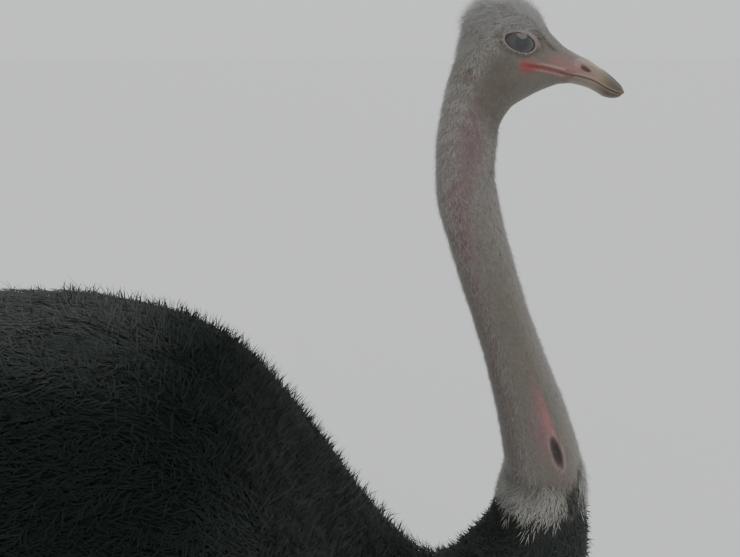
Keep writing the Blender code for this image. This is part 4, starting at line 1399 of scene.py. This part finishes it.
def featherMaterial(name, tones, rough, sheen, specular):
    # From root tone to tip tone by reach, each feather a little lighter or darker by its shade
    material, tree = newMaterial(name)
    cloud, _ = speckled(tree, 14.0, 2.0)
    colour = mixColour(tree, ramp(tree, mark(tree, "reach"), 0.15, 0.85), tones["root"], tones["tip"])
    colour = mixColour(tree, times(tree, ramp(tree, mark(tree, "shade"), 0.35, 1.25), cloud), colour, tones["sheen"])
    # painted sky light: towards the pale haze by the sky-lit share, broken up by the cloud
    if "skyLitHaze" in tones:
        share = times(tree, mark(tree, "skyLitHaze"), calculate(tree, "MULTIPLY_ADD", cloud, 0.6, 0.7))
        colour = mixColour(tree, share, colour, tones["skyLitHaze"])
    return surface(material, {
        "Base Color": colour, "Roughness": rough, "Sheen Weight": sheen, "Sheen Roughness": 0.5,
        "Specular IOR Level": specular,
    })


def downMaterial():
    # Greyish down with paler tips; brown-grey among the whiter filaments, and the flush showing through
    material, tree = newMaterial("down")
    reach, shade = mark(tree, "reach"), mark(tree, "shade")
    plain = mixColour(tree, ramp(tree, reach, 0.0, 0.8), (0.160, 0.147, 0.128), (0.292, 0.277, 0.252))
    colour = laidOver(tree, plain, [
        (ramp(tree, shade, 0.50, 1.0), (0.345, 0.332, 0.305)), (ramp(tree, shade, 0.08, 0.0), (0.120, 0.105, 0.090)),
        (times(tree, mark(tree, "mauve"), 0.50), (0.190, 0.118, 0.122)),
        (times(tree, mark(tree, "face"), 0.78), (0.134, 0.120, 0.086)),
        (times(tree, mark(tree, "frost"), ramp(tree, reach, -0.3, 0.8)), (0.455, 0.446, 0.428)),
    ])
    values = {"Base Color": colour, "Roughness": 0.75, "Sheen Weight": 0.35, "Specular IOR Level": 0.25}
    return surface(material, values)


def finishCoat(pieces, material):
    for piece in pieces:
        piece.data.materials.clear()
        piece.data.materials.append(material)
        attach(piece, "root")


print("black feathers")
bodyField = surfaceField(bodyShell, np.linspace(collarRow - 1.3, tailRow, 150), 128)


def underWing(points):
    # 1 where the folded wing covers the flank
    x, y, z = points[..., 0] - eyeX, np.abs(points[..., 1]), points[..., 2] - eyeZ
    inside = smoothStep(-0.46, -0.54, x) * smoothStep(-0.98, -0.90, x)
    return inside * smoothStep(0.15, 0.19, y) * smoothStep(-0.60, -0.66, z) * smoothStep(-0.84, -0.78, z)


def collarGap(turn):
    # 1 where the pale collar is broken, on the right of the throat
    return 1 - smoothStep(0.24, 0.50, np.abs(turn - 4.14))


def bodyWeight(place, turn, points):
    below = np.clip(-np.cos(turn), 0, 1) * smoothStep(23, 26, place)
    front = 1 + 1.7 * (1 - smoothStep(21.5, 25.5, place))
    begins = smoothStep(18.50, 18.72, place - 0.10 * np.sin(turn * 7) + 0.48 * collarGap(turn))
    return front * begins * (1 - 0.9 * underWing(points)) * (1 - 0.35 * below) * (1 - smoothStep(31.5, 31.9, place))


# A plume's barbs leave the shaft at an angle from root to tip, varied by loose, thrown off the shaft by scatter and
# raised by rise; barb is their length, times shape along the shaft; curl, sweep and droop bend them up, in and down
shortPlume = {
    "bare": 0.08, "shape": ([0, 0.25, 0.7, 1], [0.8, 1.0, 0.95, 0.7]), "curl": 0.0, "sweep": 0.0, "droop": 0.0,
    "points": 2, "shaft": 0.0,
}
longPlume = {
    "bare": 0.03, "angle": (0.62, 0.30), "loose": 1.4, "scatter": 0.009, "sweep": 0.22, "points": 3,
    "shape": ([0, 0.2, 0.6, 0.9, 1], [0.55, 0.95, 1.1, 0.85, 0.5]),
}
blackCoat = {
    "seed": 21, "count": 4500, "length": (0.070, 0.110), "jitter": 0.34, "droop": 0.30, "layer": (-0.55, 0.0),
    "proud": 0.004, "steps": 5, "swirl": 0.40,
    "grow": lambda place: np.interp(place, [18, 19.5, 21, 23], [0.36, 0.45, 0.7, 1.0]),
    "plume": dict(
        shortPlume, barbs=26, angle=(0.42, 0.20), loose=1.8, scatter=0.012, rise=0.13, barb=0.027, width=0.0019),
    "wisps": {
        "each": 7, "from": (0.15, 1.0), "up": (1.1, 3.4), "length": (0.016, 0.044), "points": 3, "width": 0.0024,
        "share": lambda place: np.interp(place, [18.5, 20.0, 21.0, 25.0, 26.5], [0.2, 0.5, 1.0, 1.0, 0.12]),
        "hook": lambda place: np.interp(place, [20.0, 21.5, 25.0, 28.0], [0.7, 0.30, 0.40, 0.85]),
        "grow": lambda place: np.interp(place, [18.5, 20.0, 22, 25, 28], [0.45, 0.7, 1.0, 1.0, 0.8]),
    },
}
blackFeathers = layCoat("bodyFeathers", bodyField, blackCoat, bodyWeight, coatDepth, parts=6)
blackLook = featherMaterial("black feather", feather["black"], 0.70, 0.02, 0.09)
finishCoat(blackFeathers, blackLook)

print("wings")
whiteLook = featherMaterial("white plume", feather["white"], 0.75, 0.20, 0.30)
covertCoat = {
    "seed": 41, "count": 620, "length": (0.110, 0.165), "jitter": 0.16, "droop": 0.42, "layer": (-0.25, 0.05),
    "proud": 0.006, "steps": 6, "swirl": 0.15,
    "plume": dict(
        shortPlume, barbs=36, angle=(0.34, 0.16), loose=1.7, scatter=0.014, rise=0.16, barb=0.034, width=0.0018),
    "wisps": {
        "each": 3, "from": (0.25, 1.0), "up": (0.6, 1.8), "length": (0.012, 0.028), "points": 3, "width": 0.0017,
        "share": lambda place: 1.0 + 0 * place, "hook": lambda place: 0.6, "grow": lambda place: 1.0,
    },
}
quill = {
    "count": 44, "rows": (4.2, 6.0), "lengths": [0.33, 0.43, 0.40], "steps": 9,
    "usual": 0.42,  # the length at which the barbs have their full size
    "plume": dict(longPlume, barbs=108, rise=0.30, barb=0.066, curl=0.10, droop=0.22, width=0.0024, shaft=0.0032),
}


def wingQuills(side, name, field):
    # White plumes that leave the rear of the wing and fan down and back behind it
    rng = np.random.default_rng(60)
    count = quill["count"]
    s = (np.arange(count) + 0.5) / count
    turn = side * (-0.35 + 4.1 * ((s * 7.31) % 1)) % (2 * math.pi)
    place = np.interp(s, [0, 1], quill["rows"]) + rng.uniform(-0.15, 0.15, count)
    length = np.interp(s, [0, 0.5, 1], quill["lengths"]) * rng.uniform(0.85, 1.08, count)
    length = length * np.interp(np.cos(turn), [-1, 0.3, 1], [0.62, 1.0, 1.0])
    path = layPaths(field, place, turn, length, quill["steps"], lie(rng.normal(0, 0.12, count), 0.60, 0.1, 8))
    q = np.linspace(0, 1, quill["steps"])[None]
    lift = -0.030 + 0.030 * smoothStep(0, 0.4, q) - rng.uniform(0, 0.030, count)[:, None] * q
    look = dict(quill["plume"], seed=61, scale=length / quill["usual"])
    return plumes("wingPlumes" + name, path, lift, unwrapped(field, place, turn), look)


for side, name in bothSides:
    field = surfaceField(wingShell(side), np.linspace(0.6, 9.0, 90), 96)

    def outer(place, turn, points, side=side):
        facing = smoothStep(-0.35, 0.15, side * (points[..., 1] - side * wing["aside"]) / 0.16)
        parted = wing["parted"]
        return facing * (1 - smoothStep(parted, parted + 0.5, place)) + 0.25 * (place < parted)

    coverts = layCoat("wingFeathers" + name, field, dict(covertCoat, seed=41 + side), outer,
                      lambda place, turn: np.interp(place, [0.6, 2, 9], [0.012, wing["coat"], wing["coat"]]))
    finishCoat(coverts, blackLook)
    finishCoat([wingQuills(side, name, field)], whiteLook)

print("tail")
tail = {
    "rows": [  # as the body's rows
        (-1.221, -0.478, -1.231, -0.712, 0.142, 0.0), (-1.300, -0.470, -1.270, -0.795, 0.168, 0.0),
        (-1.385, -0.525, -1.325, -0.865, 0.172, 0.0), (-1.450, -0.630, -1.365, -0.920, 0.155, 0.0),
        (-1.475, -0.760, -1.405, -0.960, 0.115, 0.0), (-1.465, -0.875, -1.430, -0.970, 0.055, 0.0),
    ],
    "count": 104, "length": (0.36, 0.52), "steps": 9,
    "plume": dict(longPlume, barbs=90, rise=0.34, barb=0.056, curl=0.12, droop=0.18, width=0.0026, shaft=0.0026),
}


def tailShell(place, turn):
    return ringPoint(curveRows(tail["rows"], place), turn, 2.1)


def tailPlumes():
    # A drooping bunch from the rump: outer plumes on the outline, inner ones below it
    rng = np.random.default_rng(70)
    field = surfaceField(tailShell, np.linspace(0, 5, 60), 96)
    count = tail["count"]
    turn = (np.arange(count) * 2.399963) % (2 * math.pi)  # the golden angle
    place = rng.uniform(0.0, 1.1, count)
    length = rng.uniform(*tail["length"], count) * np.interp(np.cos(turn), [-1, 0.2, 1], [0.55, 0.9, 1.05])
    path = layPaths(field, place, turn, length, tail["steps"], lie(rng.normal(0, 0.10, count), 0.35, 0.1, 9))
    q = np.linspace(0, 1, tail["steps"])[None]
    sunk = rng.uniform(0, 1, count)[:, None] ** 1.5
    lift = -0.050 + 0.050 * smoothStep(0, 0.35, q) * (1 - sunk) - 0.060 * sunk * q
    look = dict(tail["plume"], seed=71, scale=np.clip(length / quill["usual"], 0.6, 1.2))
    return plumes("tailPlumes", path, lift, unwrapped(field, place, turn), look)


tailLook = featherMaterial("tail plume", feather["cinnamon"], 0.75, 0.20, 0.30)
finishCoat([tailPlumes()], tailLook)

print("collar and down")
sides = skinShape["sides"]
neckField = surfaceField(lambda place, even: skinSurface(*np.broadcast_arrays(place, even))[0], headAndNeck, sides)
markGrid = skinSurface(*np.broadcast_arrays(headAndNeck[:, None], allRound(sides)[None]))[1]
collarCoat = {
    "seed": 81, "count": 340, "length": (0.026, 0.047), "jitter": 0.20, "droop": 0.2, "layer": (-0.3, 0.5),
    "proud": 0.004, "steps": 5, "swirl": 0.25,
    "plume": dict(
        shortPlume, barbs=17, bare=0.05, angle=(0.44, 0.22), loose=1.7, scatter=0.0042, rise=0.34, barb=0.016,
        shape=([0, 0.3, 0.8, 1], [0.8, 1.0, 0.8, 0.5]), curl=0.14, sweep=0.05, points=3, width=0.0009),
}


def collarWeight(place, turn, points):
    return bell(place, 18.25, 0.30) * (1 - collarGap(turn))


def collarDepth(place, turn):
    return coatDepth(place, turn) * 0.5


collarField = surfaceField(bodyShell, np.linspace(18.0, 20.5, 40), 128)
collar = layCoat("collarFeathers", collarField, collarCoat, collarWeight, collarDepth)
collarLook = featherMaterial("collar feather", feather["collar"], 0.8, 0.55, 0.20)
finishCoat(collar, collarLook)


def skinMarks(place, turn, keys):
    # The skin's own markings at any place and turn, read from a grid of them
    i = np.rint(np.interp(place, headAndNeck, np.arange(len(headAndNeck)))).astype(int)
    j = np.rint(turn / (2 * math.pi) % 1 * sides).astype(int) % sides
    return {key: markGrid[key][i, j] for key in keys}


def neckWeight(place, turn, points):
    marks = skinMarks(place, turn, ("dark", "flush", "pink"))
    bald = np.clip(marks["dark"] * 1.5 + marks["flush"] * 1.3 + marks["pink"] * 0.9, 0, 1)
    return smoothStep(9.0, 10.5, place) * (1 - bald) * (0.75 + 0.5 * np.abs(np.cos(turn)))


def onCrown(points):
    # 1 over the crown and down the nape, 0 on the face
    local = points - fromEye
    nape = smoothStep(-0.052, -0.072, local[..., 0]) * smoothStep(-0.085, -0.05, local[..., 2])
    return np.maximum(smoothStep(0.004, 0.030, local[..., 2]), nape)


def faceWeight(place, turn, points):
    marks = skinMarks(place, turn, ("dark", "flush", "pink", "rim"))
    bald = np.clip(marks["dark"] * 1.5 + marks["flush"] * 1.6 + marks["pink"] * 0.9 + marks["rim"], 0, 1)
    return (1 - smoothStep(9.5, 10.5, place)) * (1 - bald) * smoothStep(4.3, 5.2, place)


def headWeight(place, turn, points):
    return faceWeight(place, turn, points) * (1 - 0.5 * onCrown(points))


def crownWeight(place, turn, points):
    return faceWeight(place, turn, points) * onCrown(points) * (points[..., 2] > eyeZ - 0.10)


def crownGrow(points):
    # Up the crown and down the nape the bristles are longer and stand up
    local = points - fromEye
    crown = smoothStep(-0.005, 0.045, local[..., 2]) ** 1.5
    nape = bell(local[..., 2], 0.0, 0.05) * smoothStep(-0.050, -0.080, local[..., 0])
    face = smoothStep(-0.04, 0.02, local[..., 0]) * (1 - smoothStep(0.0, 0.03, local[..., 2]))
    return 1 + 2.0 * crown + 0.6 * nape - 0.40 * face, 0.9 * crown + 0.5 * nape - 0.20 * face


def downMarks(place, turn):
    # The skin's flush and shade, and the whiter tips over the crown and down the nape
    upper = smoothStep(-0.1, 0.6, np.cos(turn))
    frost = upper * np.interp(place, [4.8, 6.2, 9.0, 11.0, 15.0], [0.0, 1.0, 0.85, 0.75, 0.48])
    marks = skinMarks(place, turn, ("mauve", "face", "frost"))
    return dict(marks, frost=np.maximum(frost, marks["frost"]))


neckDown = {
    "seed": 91, "tufts": 4400, "each": 10, "scatter": (0.06, 0.09), "jitter": 0.45, "droop": 0.1, "up": (0.20, 1.30),
    "length": (0.0045, 0.0115), "points": 2, "width": 0.00074,
}
headDown = {
    "seed": 95, "tufts": 2600, "each": 10, "scatter": (0.05, 0.045), "jitter": 0.50, "droop": 0.1, "up": (0.12, 0.70),
    "length": (0.0035, 0.0085), "points": 2, "width": 0.00056, "grow": crownGrow,
}
crownDown = {
    "seed": 97, "tufts": 1350, "each": 7, "scatter": (0.05, 0.06), "jitter": 0.60, "droop": 0.1, "up": (0.25, 1.10),
    "length": (0.0045, 0.0105), "points": 3, "width": 0.00046, "grow": crownGrow,
}
downLook = downMaterial()
finishCoat([
    down("neckDown", neckField, neckDown, neckWeight),
    down("headDown", neckField, headDown, headWeight),
    down("crownDown", neckField, crownDown, crownWeight),
], downLook)


studio = {
    "floor": 300.0,
    "floorTone": (0.645, 0.648, 0.648),
    "sky": (0.97, 0.985, 1.0, 1), "skyPower": 0.85,
    "suns": [("above", (30, 19, 0), 0.90, 60), ("behind", (-48, 8, 0), 0.55, 50)],  # turned by, power, spread
}


def floorAndLights():
    bpy.ops.mesh.primitive_plane_add(size=2 * studio["floor"])
    floor = bpy.context.object
    floor.name = "studioFloor"
    material, _ = newMaterial("studio floor")
    floor.data.materials.append(surface(material, {"Base Color": studio["floorTone"], "Roughness": 0.9}))
    world = bpy.data.worlds.new("studio")
    world.use_nodes = True
    background = world.node_tree.nodes["Background"].inputs
    background[0].default_value, background[1].default_value = studio["sky"], studio["skyPower"]
    bpy.context.scene.world = world
    for name, tilt, power, spread in studio["suns"]:
        light = bpy.data.lights.new(name, "SUN")
        light.energy, light.angle = power, math.radians(spread)
        lamp = bpy.data.objects.new(name, light)
        bpy.context.scene.collection.objects.link(lamp)
        lamp.rotation_euler = [math.radians(t) for t in tilt]


view = {"lens": 31.18, "sensor": 36.0, "place": (-0.191, -0.87, -0.005), "tilt": 70, "clip": (0.02, 100.0)}


def addCamera():
    data = bpy.data.cameras.new("camera")
    data.lens, data.sensor_width, data.sensor_fit = view["lens"], view["sensor"], "HORIZONTAL"
    data.clip_start, data.clip_end = view["clip"]
    camera = bpy.data.objects.new("camera", data)
    x, y, z = view["place"]
    camera.location = (eyeX + x, y, eyeZ + z)
    camera.rotation_euler = (math.radians(view["tilt"]), 0, 0)
    bpy.context.scene.collection.objects.link(camera)
    bpy.context.scene.camera = camera


floorAndLights()
addCamera()
